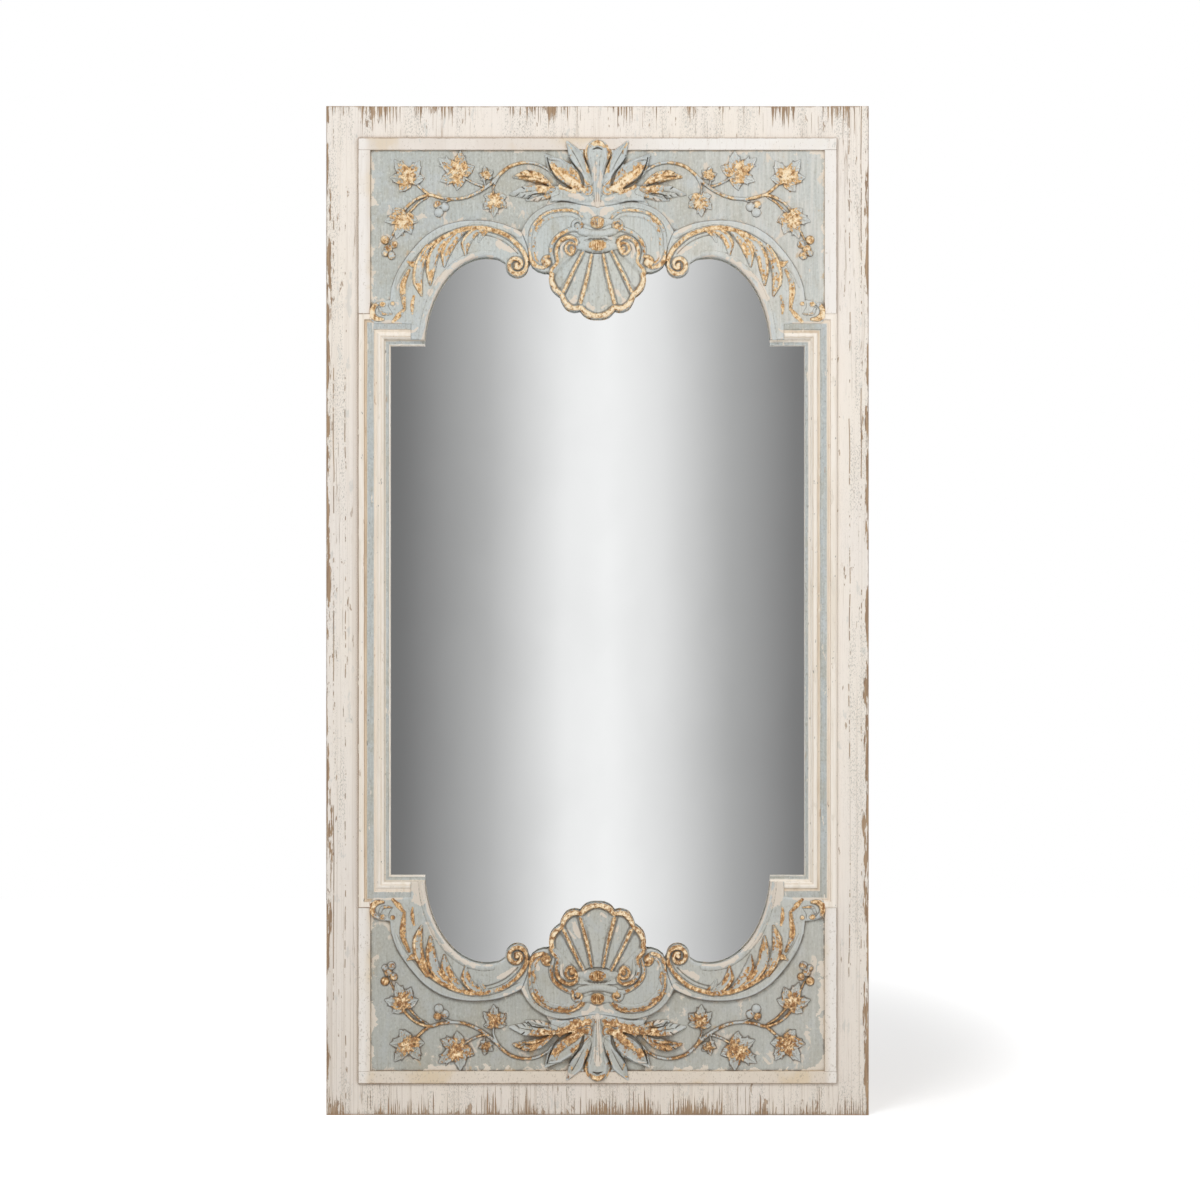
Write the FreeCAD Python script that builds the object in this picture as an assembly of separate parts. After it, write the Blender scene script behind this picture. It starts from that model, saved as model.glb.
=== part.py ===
# Carved and painted wood mirror: a jointed frame with raised strips and a stepped sight moulding,
# two carved panels with arches, scrolls, shells, crests and vines, a plate mirror and ring hangers.
# Millimetres, +Z up, the front faces -Y, the origin is under the middle of the foot.
import FreeCAD, Part
import math
import os

os.makedirs("parts", exist_ok=True)
V = FreeCAD.Vector

# Overall size
WIDTH = 968.0
HEIGHT = 1800.0

# Outer boards
BORDER = 57.0  # board left showing outside the raised strips
BOARD_LAP = 11.0  # board that runs on under the strips
BOARD_DEPTH = 40.0
BOARD_ROUND = 2.5
TENON_LENGTH = 36.0
TENON_SHOULDER = 12.0
TENON_THICKNESS = 13.0
TENON_GAP = 0.3
TENON_END_GAP = 1.0

# Cross rails behind the carved panels
CROSS_DEPTH = 22.0
CROSS_DROP = 182.0
CROSS_TENON_THICKNESS = 9.0

# Carved panels
PANEL_GAP = 0.5
PANEL_DROP = 370.0  # from the border's inner edge to the sight line at the notch
PANEL_SETBACK = 2.5  # panel edge kept back from the sight edge

# Raised strips and the sight moulding
STRIP_WIDTH = 22.0
STRIP_RISE = 7.0
STRIP_ROUND = 1.5
MOULD_WIDTH = 57.0
MOULD_FILLET = 11.0
MOULD_GROOVE = 5.0
MOULD_STEP = 5.0
MOULD_OGEE = 13.0
MOULD_LIP = 10.5
MOULD_BEAD = 3.0
MOULD_EDGE = 12.0  # thickness of the lip at the sight edge

# Relief of the carving above the panel's face
BAND_RISE = 7.0
RIB_RISE = 6.0
LEAFLET_RISE = 5.0
STEM_RISE = 5.0
LEAF_RISE = 7.0
BERRY_RADIUS = 7.5
CREST_RISE = 19.0
SHELL_RISE = 20.0
SHELL_DOME = 260.0
CARTOUCHE_RISE = 8.0
KNOT_RADIUS = 12.0
OVAL_RADIUS = 9.0

# Glass and back
GLASS_THICKNESS = 5.0
GLASS_GAP = 3.0
BEAD_WIDTH = 16.0
BACK_THICKNESS = 5.0
BACK_GAP = 1.0
BACK_SCREW_LENGTH = 14.0
BACK_SCREW_RADIUS = 1.75
BACK_SCREWS_UP = 6
BACK_SCREWS_ACROSS = 4

# Ring hangers
HANGER_DROP = 400.0  # hinge line below the top edge
STRAP_WIDTH = 22.0
STRAP_LENGTH = 75.0
STRAP_THICKNESS = 1.6
STRAP_ROUND = 9.0
RING_BAR = 5.0
RING_FIT = 0.08  # radial clearance of the bar in its knuckle
RING_PLAY = 1.5
RING_CORNER = 5.0
RING_LIFT = 1.2  # degrees off the strap while it hangs
HANGER_SCREW_RADIUS = 2.0
HANGER_SCREW_LENGTH = 25.0
SCREW_GAP = 0.1

# The ornament is drawn on a half panel of this size and stretched to the panel
DRAWN_BORDER = 57.0
DRAWN_HALF = 427.0
DRAWN_DROP = 370.0

# Values that follow from the sizes above
KNUCKLE_BORE = RING_BAR / 2 + RING_FIT
KNUCKLE_RADIUS = KNUCKLE_BORE + STRAP_THICKNESS
FRONT_REACH = BOARD_DEPTH + max(CREST_RISE, SHELL_RISE, CARTOUCHE_RISE + KNOT_RADIUS)
BACK_Y = (FRONT_REACH - KNUCKLE_RADIUS * 2) / 2
BOARD_WIDTH = BORDER + BOARD_LAP
WINDOW_HALF = WIDTH / 2 - BOARD_WIDTH
PANEL_HALF = WIDTH / 2 - BORDER
STRIP_FRONT = BOARD_DEPTH + STRIP_RISE
BAND_FRONT = BOARD_DEPTH + BAND_RISE
CARTOUCHE_FRONT = BOARD_DEPTH + CARTOUCHE_RISE
CROSS_EDGE = BOARD_WIDTH + CROSS_DROP
NOTCH_INNER = BORDER + PANEL_DROP
NOTCH_OUTER = NOTCH_INNER - MOULD_WIDTH
GLASS_BACK = CROSS_DEPTH - GLASS_THICKNESS
HANGER_X = WIDTH / 2 - BOARD_WIDTH / 2
HANGER_Z = HEIGHT - HANGER_DROP
STRETCH_U = PANEL_HALF / DRAWN_HALF
STRETCH_V = PANEL_DROP / DRAWN_DROP


# Shape helpers
def block(x0, x1, t0, t1, z0, z1):
    """A box; t is measured forward from the frame's back plane."""
    return Part.makeBox(x1 - x0, t1 - t0, z1 - z0, V(x0, BACK_Y - t1, z0))


def place(u, v, t):
    """A point of the upper left drawing: u out from the middle, v down from the top edge."""
    drop = BORDER + (v - DRAWN_BORDER) * STRETCH_V
    return V(-u * STRETCH_U, BACK_Y - t, HEIGHT - drop)


def spline(points):
    """An edge through points, straight when there are only two."""
    if len(points) == 2:
        return Part.LineSegment(points[0], points[1]).toShape()
    curve = Part.BSplineCurve()
    curve.interpolate(points)
    return curve.toShape()


def loop(runs, t):
    """A closed wire of drawn runs, each one ending where the next begins."""
    return Part.Wire([spline([place(u, v, t) for u, v in run]) for run in runs])


def slab(runs, t0, t1):
    """A flat plate with a drawn outline."""
    return Part.Face(loop(runs, t0)).extrude(V(0, t0 - t1, 0))


def between(values, share):
    """A value read off an evenly spaced list."""
    at = share * (len(values) - 1)
    low = min(int(at), len(values) - 2)
    return values[low] + (values[low + 1] - values[low]) * (at - low)


def ribbon(middle, widths, start, end, share, t, steps):
    """A closed wire that runs along both sides of a curve, in four edges."""
    first, last = middle.FirstParameter, middle.LastParameter
    left, right = [], []
    for i in range(steps):
        along = start + (end - start) * i / (steps - 1)
        at = first + (last - first) * along
        point = middle.value(at)
        way = middle.tangent(at)[0]
        side = V(-way.z * STRETCH_U, 0, way.x * STRETCH_V) * (between(widths, along) * share / 2)
        point.y = BACK_Y - t
        left.append(point + side)
        right.append(point - side)
    edges = [spline(left), spline([left[-1], right[-1]])]
    edges += [spline(right[::-1]), spline([right[0], left[0]])]
    return Part.Wire(edges)


def rib(points, widths, t, rise, crown=0.4):
    """A raised member with sloping sides along a drawn curve: a rib, a stem or a leaf."""
    middle = Part.BSplineCurve()
    middle.interpolate([place(u, v, t) for u, v in points])
    steps = max(5, 2 * len(points) - 1)
    foot = ribbon(middle, widths, 0.0, 1.0, 1.0, t, steps)
    top = ribbon(middle, widths, 0.03, 0.95, crown, t + rise, steps)
    return Part.makeLoft([foot, top], True, True)


def spiral(u, v, radius, inner, begin, turns, steps):
    """Drawn points of a volute that winds in from the side nearest the middle."""
    points = []
    for i in range(steps):
        angle = math.radians(begin + 360 * turns * i / (steps - 1))
        r = radius + (inner - radius) * i / (steps - 1)
        points.append((u - r * math.cos(angle), v + r * math.sin(angle)))
    return points


def dome(u, v, radius, t):
    """A half ball standing on a face."""
    return Part.makeSphere(radius, place(u, v, t), V(0, -1, 0), 0, 90, 360)


def fused(shapes):
    """One clean solid from shapes that run into each other."""
    return shapes[0].multiFuse(shapes[1:]).removeSplitter()


def mirrored(shape):
    """The same shape on the right-hand side."""
    return shape.mirror(V(0, 0, 0), V(1, 0, 0))


def flipped(shape):
    """The same shape at the foot of the mirror."""
    return shape.mirror(V(0, 0, HEIGHT / 2), V(0, 0, 1))


def whole(half):
    """A left half joined to its mirror image."""
    return fused([half, mirrored(half)])


def soften(shape, radius, chosen):
    """Rounds the straight edges for which chosen(a, b) holds at their two ends."""
    edges = [e for e in shape.Edges if len(e.Vertexes) == 2]
    picked = [e for e in edges if chosen(e.Vertexes[0].Point, e.Vertexes[1].Point)]
    return shape.makeFillet(radius, picked)


def near(a, b):
    return abs(a - b) < 0.01


def screw(x, z, face, length, radius, gap=0.0):
    """A countersunk screw driven forward from the plane at face; gap makes the hole for it."""
    head = 1.9 * radius + gap
    body = radius + gap
    sink = head - body
    tip = 2 * radius
    forward = V(0, -1, 0)
    start = V(x, BACK_Y - face, z)
    cone = Part.makeCone(head, body, sink, start, forward)
    shank = Part.makeCylinder(body, length - tip - sink, start + forward * sink, forward)
    end = start + forward * (length - tip)
    point = Part.makeCone(body, 0.3 + gap, tip + gap, end, forward)
    return fused([cone, shank, point])


nodes = {}


def corners(name, shape):
    """Stores an upper left piece and its three mirror images."""
    nodes["upper_left_" + name] = shape
    nodes["upper_right_" + name] = mirrored(shape)
    nodes["lower_left_" + name] = flipped(shape)
    nodes["lower_right_" + name] = flipped(mirrored(shape))


def ends(name, shape):
    """Stores a top piece and its copy at the foot."""
    nodes["top_" + name] = shape
    nodes["bottom_" + name] = flipped(shape)


# Outer rails, with a tenon at each end
def tenoned(rail, thickness, middle, z0, z1, gap, end_gap):
    """Adds both tenons to a rail, or makes the cutter for their mortises when gaps are given."""
    reach = WINDOW_HALF + TENON_LENGTH + end_gap
    half = thickness / 2 + gap
    low = z0 + TENON_SHOULDER - gap
    high = z1 - TENON_SHOULDER + gap
    tongue = block(-reach, reach, middle - half, middle + half, low, high)
    return fused([rail, tongue]) if rail else tongue


rail_low = HEIGHT - BOARD_WIDTH
rail = block(-WINDOW_HALF, WINDOW_HALF, 0, BOARD_DEPTH, rail_low, HEIGHT)
rail = soften(
    rail,
    BOARD_ROUND,
    lambda a, b: near(a.z, HEIGHT) and near(b.z, HEIGHT) and near(a.y, b.y),
)
rail_tenon = (TENON_THICKNESS, BOARD_DEPTH / 2, rail_low, HEIGHT)
ends("rail", tenoned(rail, *rail_tenon, 0, 0))

# Cross rails that carry the carved panels and close the glass window
cross_low = HEIGHT - CROSS_EDGE
cross = block(-WINDOW_HALF, WINDOW_HALF, 0, CROSS_DEPTH, cross_low, rail_low)
cross_tenon = (CROSS_TENON_THICKNESS, CROSS_DEPTH / 2, cross_low, rail_low)
cross = tenoned(cross, *cross_tenon, 0, 0)
nodes["upper_cross_rail"] = cross
nodes["lower_cross_rail"] = flipped(cross)

# Hanger screws, two in a line down each strap
strap_pitch = STRAP_LENGTH / 3
hanger_places = [HANGER_Z - RING_BAR * 2 - strap_pitch * k for k in (0.9, 1.9)]
hanger_face = -STRAP_THICKNESS
hanger_screw = (hanger_face, HANGER_SCREW_LENGTH, HANGER_SCREW_RADIUS)
left_screws = [screw(-HANGER_X, z, *hanger_screw) for z in hanger_places]
left_sinks = [screw(-HANGER_X, z, *hanger_screw, SCREW_GAP) for z in hanger_places]
nodes["hanger_screws"] = Part.makeCompound(left_screws + [mirrored(s) for s in left_screws])

# Stiles, mortised for the rails
stile = block(-WIDTH / 2, -WINDOW_HALF, 0, BOARD_DEPTH, 0, HEIGHT)
stile = soften(
    stile,
    BOARD_ROUND,
    lambda a, b: near(a.x, -WIDTH / 2) and near(b.x, -WIDTH / 2) and not near(a.z, b.z),
)
mortises = [
    tenoned(None, *rail_tenon, TENON_GAP, TENON_END_GAP),
    tenoned(None, *cross_tenon, TENON_GAP, TENON_END_GAP),
]
mortises += [flipped(m) for m in mortises]
stile = stile.cut(mortises + left_sinks)
nodes["left_stile"] = stile
nodes["right_stile"] = mirrored(stile)

# Raised strips that cover the joint between the boards and the carved panels
strip_low = HEIGHT - BORDER - STRIP_WIDTH
top_strip = block(-PANEL_HALF, PANEL_HALF, BOARD_DEPTH, STRIP_FRONT, strip_low, HEIGHT - BORDER)
strip_edge = BACK_Y - STRIP_FRONT
top_strip = soften(
    top_strip,
    STRIP_ROUND,
    lambda a, b: near(a.y, strip_edge) and near(b.y, strip_edge) and near(a.z, b.z),
)
side_strip = block(
    -PANEL_HALF,
    -PANEL_HALF + STRIP_WIDTH,
    BOARD_DEPTH,
    STRIP_FRONT,
    HEIGHT - NOTCH_OUTER,
    strip_low,
)
side_strip = soften(
    side_strip,
    STRIP_ROUND,
    lambda a, b: near(a.y, strip_edge) and near(b.y, strip_edge) and near(a.x, b.x),
)
ends("strip", top_strip)
corners("strip", side_strip)

# Section of the sight moulding: fillet, groove, flat, step, ogee, lip and bead
mould_back = MOULD_FILLET + PANEL_GAP
ogee_end = MOULD_WIDTH - MOULD_LIP
ogee_start = ogee_end - MOULD_OGEE
flat_start = MOULD_FILLET + MOULD_GROOVE
flat_end = ogee_start - MOULD_STEP
edge_front = CROSS_DEPTH + MOULD_EDGE
bead_start = MOULD_WIDTH - MOULD_BEAD


def mould_section(spot):
    """The section as a face; spot(a, t) puts a point a in from the outer edge at depth t."""
    front = STRIP_FRONT
    flat = front - 2.0
    ease = STRIP_ROUND * 0.3
    runs = [
        [(mould_back, BOARD_DEPTH), (0, BOARD_DEPTH)],
        [(0, BOARD_DEPTH), (0, front - STRIP_ROUND)],
        [(0, front - STRIP_ROUND), (ease, front - ease), (STRIP_ROUND, front)],
        [(STRIP_ROUND, front), (MOULD_FILLET, front)],
        [(MOULD_FILLET, front), (MOULD_FILLET + 1.5, flat - 1.5)],
        [(MOULD_FILLET + 1.5, flat - 1.5), (flat_start - 0.5, flat - 1.5)],
        [(flat_start - 0.5, flat - 1.5), (flat_start, flat)],
        [(flat_start, flat), (flat_end, flat)],
        [(flat_end, flat), (flat_end + 1.0, flat - 2.0)],
        [(flat_end + 1.0, flat - 2.0), (ogee_start, flat - 2.0)],
        [(ogee_start, flat - 2.0), (ogee_start + 5.0, flat + 1.2), (ogee_end, flat - 4.0)],
        [(ogee_end, flat - 4.0), (ogee_end + 0.5, edge_front + 3.0)],
        [(ogee_end + 0.5, edge_front + 3.0), (bead_start, edge_front)],
        [(bead_start, edge_front), (bead_start + 1.5, edge_front + 1.2), (MOULD_WIDTH, edge_front)],
        [(MOULD_WIDTH, edge_front), (MOULD_WIDTH, CROSS_DEPTH)],
        [(MOULD_WIDTH, CROSS_DEPTH), (mould_back, CROSS_DEPTH)],
        [(mould_back, CROSS_DEPTH), (mould_back, BOARD_DEPTH)],
    ]
    return Part.Face(Part.Wire([spline([spot(a, t) for a, t in run]) for run in runs]))


def wedge(points):
    """A three-sided cutter through the whole depth, for the mitres."""
    path = [V(x, BACK_Y - 2 * BOARD_DEPTH, z) for x, z in points]
    return Part.Face(Part.makePolygon(path + path[:1])).extrude(V(0, 3 * BOARD_DEPTH, 0))


# Long sight mouldings, mitred at both notches
outer_x = -PANEL_HALF
inner_x = outer_x + MOULD_WIDTH
corner_z = HEIGHT - NOTCH_OUTER
inner_z = HEIGHT - NOTCH_INNER
run = mould_section(lambda a, t: V(outer_x + a, BACK_Y - t, NOTCH_OUTER))
run = run.extrude(V(0, 0, HEIGHT - 2 * NOTCH_OUTER))
upper_cut = wedge([(outer_x, corner_z), (inner_x, inner_z), (inner_x, corner_z)])
run = run.cut([upper_cut, flipped(upper_cut)])
nodes["left_sight_moulding"] = run
nodes["right_sight_moulding"] = mirrored(run)

# Drawn outline of the arches: an ellipse for the sight edge, and the foot at the side
ARCH_MIDDLE = (199.2, 437.7)
ARCH_HALF_WIDTH = 109.9
ARCH_RISE = 167.9
FOOT_INNER = 333.0
VOLUTE = (144.0, 284.0)
lip_line = NOTCH_INNER - MOULD_LIP
lip_drawn = DRAWN_BORDER + DRAWN_DROP - MOULD_LIP / STRETCH_V
foot_drawn = lip_drawn - (ogee_end - flat_start) / STRETCH_V


def arch_point(angle, grow=0.0):
    """A point of the arch's sight edge, counted from its top towards the side."""
    turn = math.radians(angle)
    u = ARCH_MIDDLE[0] + (ARCH_HALF_WIDTH + grow) * math.sin(turn)
    return (u, ARCH_MIDDLE[1] - (ARCH_RISE + grow) * math.cos(turn))


def arch_side(v, grow=0.0):
    """Where the sight edge stands at a height v."""
    share = (ARCH_MIDDLE[1] - v) / (ARCH_RISE + grow)
    return (ARCH_MIDDLE[0] + (ARCH_HALF_WIDTH + grow) * math.sqrt(1 - share * share), v)


# Moulding returns, from the mitre to the arch; only the lip runs on under the arch's end
arch_end = arch_side(lip_drawn)
return_end = -arch_end[0] * STRETCH_U
foot_x = -FOOT_INNER * STRETCH_U
arm = mould_section(lambda a, t: V(outer_x, BACK_Y - t, corner_z - a))
arm = arm.extrude(V(return_end - outer_x, 0, 0))
lower_cut = wedge([(outer_x, corner_z), (inner_x, inner_z), (outer_x, inner_z)])
step_cut = block(foot_x, return_end, 0, FRONT_REACH, HEIGHT - lip_line, corner_z)

# Arch bands: outer edge, meeting line with the cartouche, volute, sight edge and foot
foot_start = (369.8, 346.6)
band_edge = [foot_start, (359, 300), (329.6, 255.5), (281, 216), (210, 204), (149, 218), (136, 224)]
meeting = [(136, 224), (126, 247), (121.5, 277)]
volute_edge = [(121.5, 277), (125, 294), (136, 304), (149, 305), (158, 297), (160, 284)]
sight_edge = [(160, 284), (174, 274.2), arch_point(0), arch_point(30), arch_point(60), arch_end]
foot_edge = [(FOOT_INNER, foot_drawn), (386, foot_drawn), (402, 377), (404, 364), (395, 351), foot_start]
band = slab(
    [
        band_edge,
        meeting,
        volute_edge,
        sight_edge,
        [arch_end, (FOOT_INNER, lip_drawn)],
        [(FOOT_INNER, lip_drawn), (FOOT_INNER, foot_drawn)],
        foot_edge,
    ],
    BOARD_DEPTH,
    BAND_FRONT,
)
corners("arch_band", band)
corners("return", arm.cut([lower_cut, step_cut, band]))

# Leaf sprays on the arch bands: gilt rib with its volute, edge bead, foot curl and leaflets
rib_path = [(315, 280), (303, 255), (281, 239), (255, 226), (228, 219), (208, 218), (187, 222)]
rib_path += [(163.5, 231), (145.6, 245), (131, 263)]
volute = spiral(VOLUTE[0], VOLUTE[1], 18.5, 6.0, -15, 1.3, 13)
bead_line = [(176, 269.5)] + [arch_point(angle, 4.5) for angle in (0, 20, 40, 60, 80)]
leaflets = [
    ([(303, 252), (312, 270), (319, 291), (320, 313), (313.5, 338)], [8, 13, 14, 11, 2]),
    ([(317, 277), (328, 283), (338.6, 278)], [7, 9, 2]),
    ([(265, 230), (281, 247), (294, 266), (299, 288), (298, 319)], [8, 12, 12, 9, 2]),
    ([(242, 223), (260, 243), (271, 263), (273, 284)], [8, 14, 15, 2]),
    ([(210, 221), (224, 230), (235, 245), (234, 260)], [7, 12, 11, 2]),
    ([(336, 293), (345, 318), (344, 363)], [3, 9, 3]),
    ([(327, 339.5), (330, 355), (329.6, 370)], [2, 5, 2]),
    ([(345.7, 364.5), (354, 371), (364.5, 378)], [3, 7, 2]),
]
curl = [(392, 356), (400, 365), (398, 375), (390, 379), (381, 378)]
spray = [rib(rib_path + volute, [6, 7, 8, 8, 7, 5], BAND_FRONT, RIB_RISE)]
spray.append(rib(bead_line, [4, 5, 5, 5], BAND_FRONT, LEAFLET_RISE * 0.5, 0.5))
spray += [rib(path, widths, BAND_FRONT, LEAFLET_RISE, 0.3) for path, widths in leaflets]
spray.append(rib(curl, [4, 6, 6, 5, 3], BAND_FRONT, LEAFLET_RISE))
spray.append(dome(VOLUTE[0], VOLUTE[1], 4.5, BAND_FRONT))
carved = spray[:1]
for piece in spray[1:]:
    carved += piece.cut(carved).Solids
corners("leaf_spray", Part.makeCompound(carved))

# Shell: a domed scallop with flutes that widen from the hinge to the rim
shell_top = [(0, 236), (26, 233), (49, 232), (66, 240), (76, 262), (74, 280), (80, 290), (85, 302), (85, 313)]
shell_lobes = [
    [(85, 313), (80, 329), (67, 339)],
    [(67, 339), (55, 361), (31, 363)],
    [(31, 363), (18, 376), (0, 379)],
]
shell_front = BOARD_DEPTH + SHELL_RISE
shell_half = slab([shell_top] + shell_lobes + [[(0, 379), (0, 236)]], BOARD_DEPTH, shell_front)
shell = whole(shell_half)
crown = place(0, 318, shell_front - SHELL_DOME)
shell = shell.common(Part.makeSphere(SHELL_DOME, crown))
flutes = []
for rim, width in (((0, 372), 17.0), ((39, 356), 16.0), ((69, 327), 13.0), ((74, 303), 8.0)):
    begin = place(rim[0] * 0.12, 258, shell_front)
    way = place(rim[0], rim[1], shell_front + 3.0) - begin
    flute = Part.makeCone(2.0, width, way.Length * 0.93, begin, way)
    flutes += [flute] if rim[0] == 0 else [flute, mirrored(flute)]
shell = shell.cut(flutes)

# The shell's shoulder volutes and the oval at its hinge
shoulder = (46, 255.5)
shoulder_front = shell_front - 5.0
disc = Part.makeCylinder(12.0, shoulder_front - BOARD_DEPTH, place(*shoulder, BOARD_DEPTH), V(0, -1, 0))
eye = rib(spiral(*shoulder, 10.0, 3.5, 200, 1.2, 11), [4, 4, 3], shoulder_front, 2.5)
oval_length = 2 * OVAL_RADIUS
oval_start = place(0, 250, shell_front - OVAL_RADIUS) - V(oval_length / 2, 0, 0)
oval = [Part.makeCylinder(OVAL_RADIUS, oval_length, oval_start, V(1, 0, 0))]
oval += [Part.makeSphere(OVAL_RADIUS, oval_start + V(x, 0, 0)) for x in (0, oval_length)]
shell = fused([shell, disc, mirrored(disc)] + oval)
ends("shell", Part.makeCompound([shell, eye, mirrored(eye)]))

# Cartouche: the plate round the shell with its pair of C-scrolls
cartouche_top = [(0, 180), (40, 175), (63, 172), (103, 184), (129.5, 211), (136, 224)]
curl_edge = [(121.5, 277), (115, 287), (105, 294), (94, 296), (86, 302)]
plate_sides = [[(86, 302), (0, 302)], [(0, 302), (0, 180)]]
plate = slab([cartouche_top, meeting, curl_edge] + plate_sides, BOARD_DEPTH, CARTOUCHE_FRONT)
shell_room = slab([shell_top, [(85, 313), (0, 313)], [(0, 313), (0, 236)]], 0, FRONT_REACH)
plate = whole(plate.cut(shell_room))
scroll = [(26, 204), (30, 195), (49, 187), (67, 187), (87, 191), (103, 201), (115, 216), (120.6, 234)]
scroll += [(121.5, 250), (117, 272), (108, 284), (97, 288)]
collar = [(20, 226), (46, 222), (63, 228), (77, 241), (83, 259), (80, 274)]
scrolls = [
    rib(scroll, [5, 7, 7, 7, 5], CARTOUCHE_FRONT, RIB_RISE),
    rib(collar, [4, 5, 5, 3], CARTOUCHE_FRONT, RIB_RISE * 0.6),
    dome(35, 213.5, 8, CARTOUCHE_FRONT),
    dome(90, 277, 6, CARTOUCHE_FRONT),
]
carved = []
for piece in scrolls:
    carved += piece.cut([shell_room] + carved).Solids
carved += [mirrored(piece) for piece in carved]
ends("cartouche", Part.makeCompound([plate] + carved))

# Knots between the scrolls
ends("knot", dome(0, 208, KNOT_RADIUS, CARTOUCHE_FRONT))

# Crest: the acanthus plume and its side lobes, relieved at the back to sit over the top strip
crest_lobes = [
    ([(14, 140), (26, 113), (39, 88), (52, 68)], [22, 23, 22, 5]),
    ([(16, 150), (42, 132), (62, 117), (77, 105), (88, 93)], [26, 30, 35, 26, 6]),
    ([(66, 147), (87, 139), (104, 129), (122, 124), (145, 127)], [12, 15, 18, 16, 5]),
    ([(66, 150), (88, 149), (110, 151), (132, 154), (154, 160)], [10, 13, 18, 20, 5]),
    ([(58, 154), (76, 156), (92, 157), (108, 161), (124, 167)], [8, 11, 13, 13, 4]),
    ([(0, 163), (28, 161), (52, 154), (76, 147)], [28, 30, 26, 16]),
]
plume_line = [(0, 174), (0, 150), (0, 125), (0, 100), (0, 80), (0, 64)]
crest = [rib(plume_line, [25, 25, 27, 42, 44, 26], BOARD_DEPTH, CREST_RISE)]
for path, widths in crest_lobes:
    lobe = rib(path, widths, BOARD_DEPTH, CREST_RISE * 0.75, 0.3)
    crest += [lobe, mirrored(lobe)]
crest = fused(crest).cut([top_strip, nodes["top_cartouche"]])
ends("crest", crest)

# Panels: a board cut away for both arches, the shell's underside and the moulding returns
panel_top = HEIGHT - BOARD_WIDTH - PANEL_GAP
panel_side = WINDOW_HALF - PANEL_GAP
panel = block(-panel_side, panel_side, CROSS_DEPTH, BOARD_DEPTH, HEIGHT - lip_line, panel_top)
arm_space = block(
    -WINDOW_HALF, foot_x, 0, FRONT_REACH, 0, HEIGHT - NOTCH_OUTER - mould_back
)
back = PANEL_SETBACK
low_side = arch_side(lip_drawn, back)
opening = slab(
    [
        [low_side, arch_point(60, back), arch_point(30, back), arch_point(0, back), (175, 272), (163, 281)],
        [(163, 281), (157, 294), (146, 303), (134, 301), (124, 288), (119, 277)],
        [(119, 277), (112, 286), (103, 291), (94, 293), (82, 300)],
        [(82, 300), (82, 313), (77, 327), (64, 337)],
        [(64, 337), (53, 357), (31, 359)],
        [(31, 359), (17, 373), (0, 376)],
        [(0, 376), (0, low_side[1] + 20)],
        [(0, low_side[1] + 20), (low_side[0], low_side[1] + 20)],
        [(low_side[0], low_side[1] + 20), low_side],
    ],
    0,
    FRONT_REACH,
)
panel = panel.cut([arm_space, mirrored(arm_space), opening, mirrored(opening)])
ends("panel", panel)

# Vines: a wavy stem with branches, lobed leaves and berry clusters
main_stem = [(96, 109), (124, 101), (158, 109), (185, 134), (219, 157), (262, 166), (297.5, 159)]
main_stem += [(324, 167), (345, 186)]
branches = [
    [(174, 121.5), (183, 140), (181, 165)],
    [(197, 145), (212, 141), (226, 135), (240, 126)],
    [(303, 157), (313.5, 148), (327, 134)],
    [(352, 216), (362, 226), (368, 240)],
    [(262, 166), (272, 170), (278, 176)],
]
leaves = [(181, 182, 29, 90), (253, 114, 34, -35), (340, 120, 31, -55), (349, 202, 30, 60)]
leaves.append((199, 120, 13, -70))
berries = [(272.5, 180.5), (286, 176), (284, 191), (378, 238.5), (373, 254.5), (362, 248), (367, 267)]


def leaf(u, v, size, aim):
    """A lobed leaf with its point along aim, in degrees from outwards towards down."""
    rims = []
    for share, t in ((1.0, BOARD_DEPTH), (0.5, BOARD_DEPTH + LEAF_RISE)):
        points = []
        for k in range(18):
            angle = math.radians(aim + 20 * k)
            reach = size * share
            reach *= (0.8 + 0.2 * math.cos(math.radians(20 * k))) if k % 2 == 0 else 0.58
            points.append(place(u + reach * math.cos(angle), v + reach * math.sin(angle), t))
        rims.append(Part.makePolygon(points + points[:1]))
    return Part.makeLoft(rims, True, True)


vine = [leaf(*spot) for spot in leaves]
for path in [main_stem] + branches:
    stem = rib(path, [6, 6, 6, 5], BOARD_DEPTH, STEM_RISE, 0.5)
    vine += stem.cut(vine).Solids
for u, v in berries:
    vine += dome(u, v, BERRY_RADIUS, BOARD_DEPTH).cut(vine).Solids
vine = [s for piece in vine for s in piece.cut([crest, band]).Solids]
corners("vine", Part.makeCompound(vine))

# Mirror glass, held against the moulding by beads behind it
glass_half = WINDOW_HALF - GLASS_GAP
glass_low = CROSS_EDGE + GLASS_GAP
glass_high = HEIGHT - glass_low
nodes["mirror_glass"] = block(-glass_half, glass_half, GLASS_BACK, CROSS_DEPTH, glass_low, glass_high)

# Back panel screws, evenly spaced along all four beads
back_screw = (0, BACK_SCREW_LENGTH, BACK_SCREW_RADIUS)
screw_x = WINDOW_HALF - BEAD_WIDTH / 2
screw_z = CROSS_EDGE + BEAD_WIDTH / 2
spots = []
for k in range(BACK_SCREWS_UP):
    z = screw_z + (HEIGHT - 2 * screw_z) * (k + 0.5) / BACK_SCREWS_UP
    spots += [(-screw_x, z), (screw_x, z)]
for k in range(BACK_SCREWS_ACROSS):
    x = 2 * screw_x * ((k + 0.5) / BACK_SCREWS_ACROSS - 0.5)
    spots += [(x, screw_z), (x, HEIGHT - screw_z)]
nodes["back_panel_screws"] = Part.makeCompound([screw(x, z, *back_screw) for x, z in spots])
back_sinks = [screw(x, z, *back_screw, SCREW_GAP) for x, z in spots]

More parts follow.
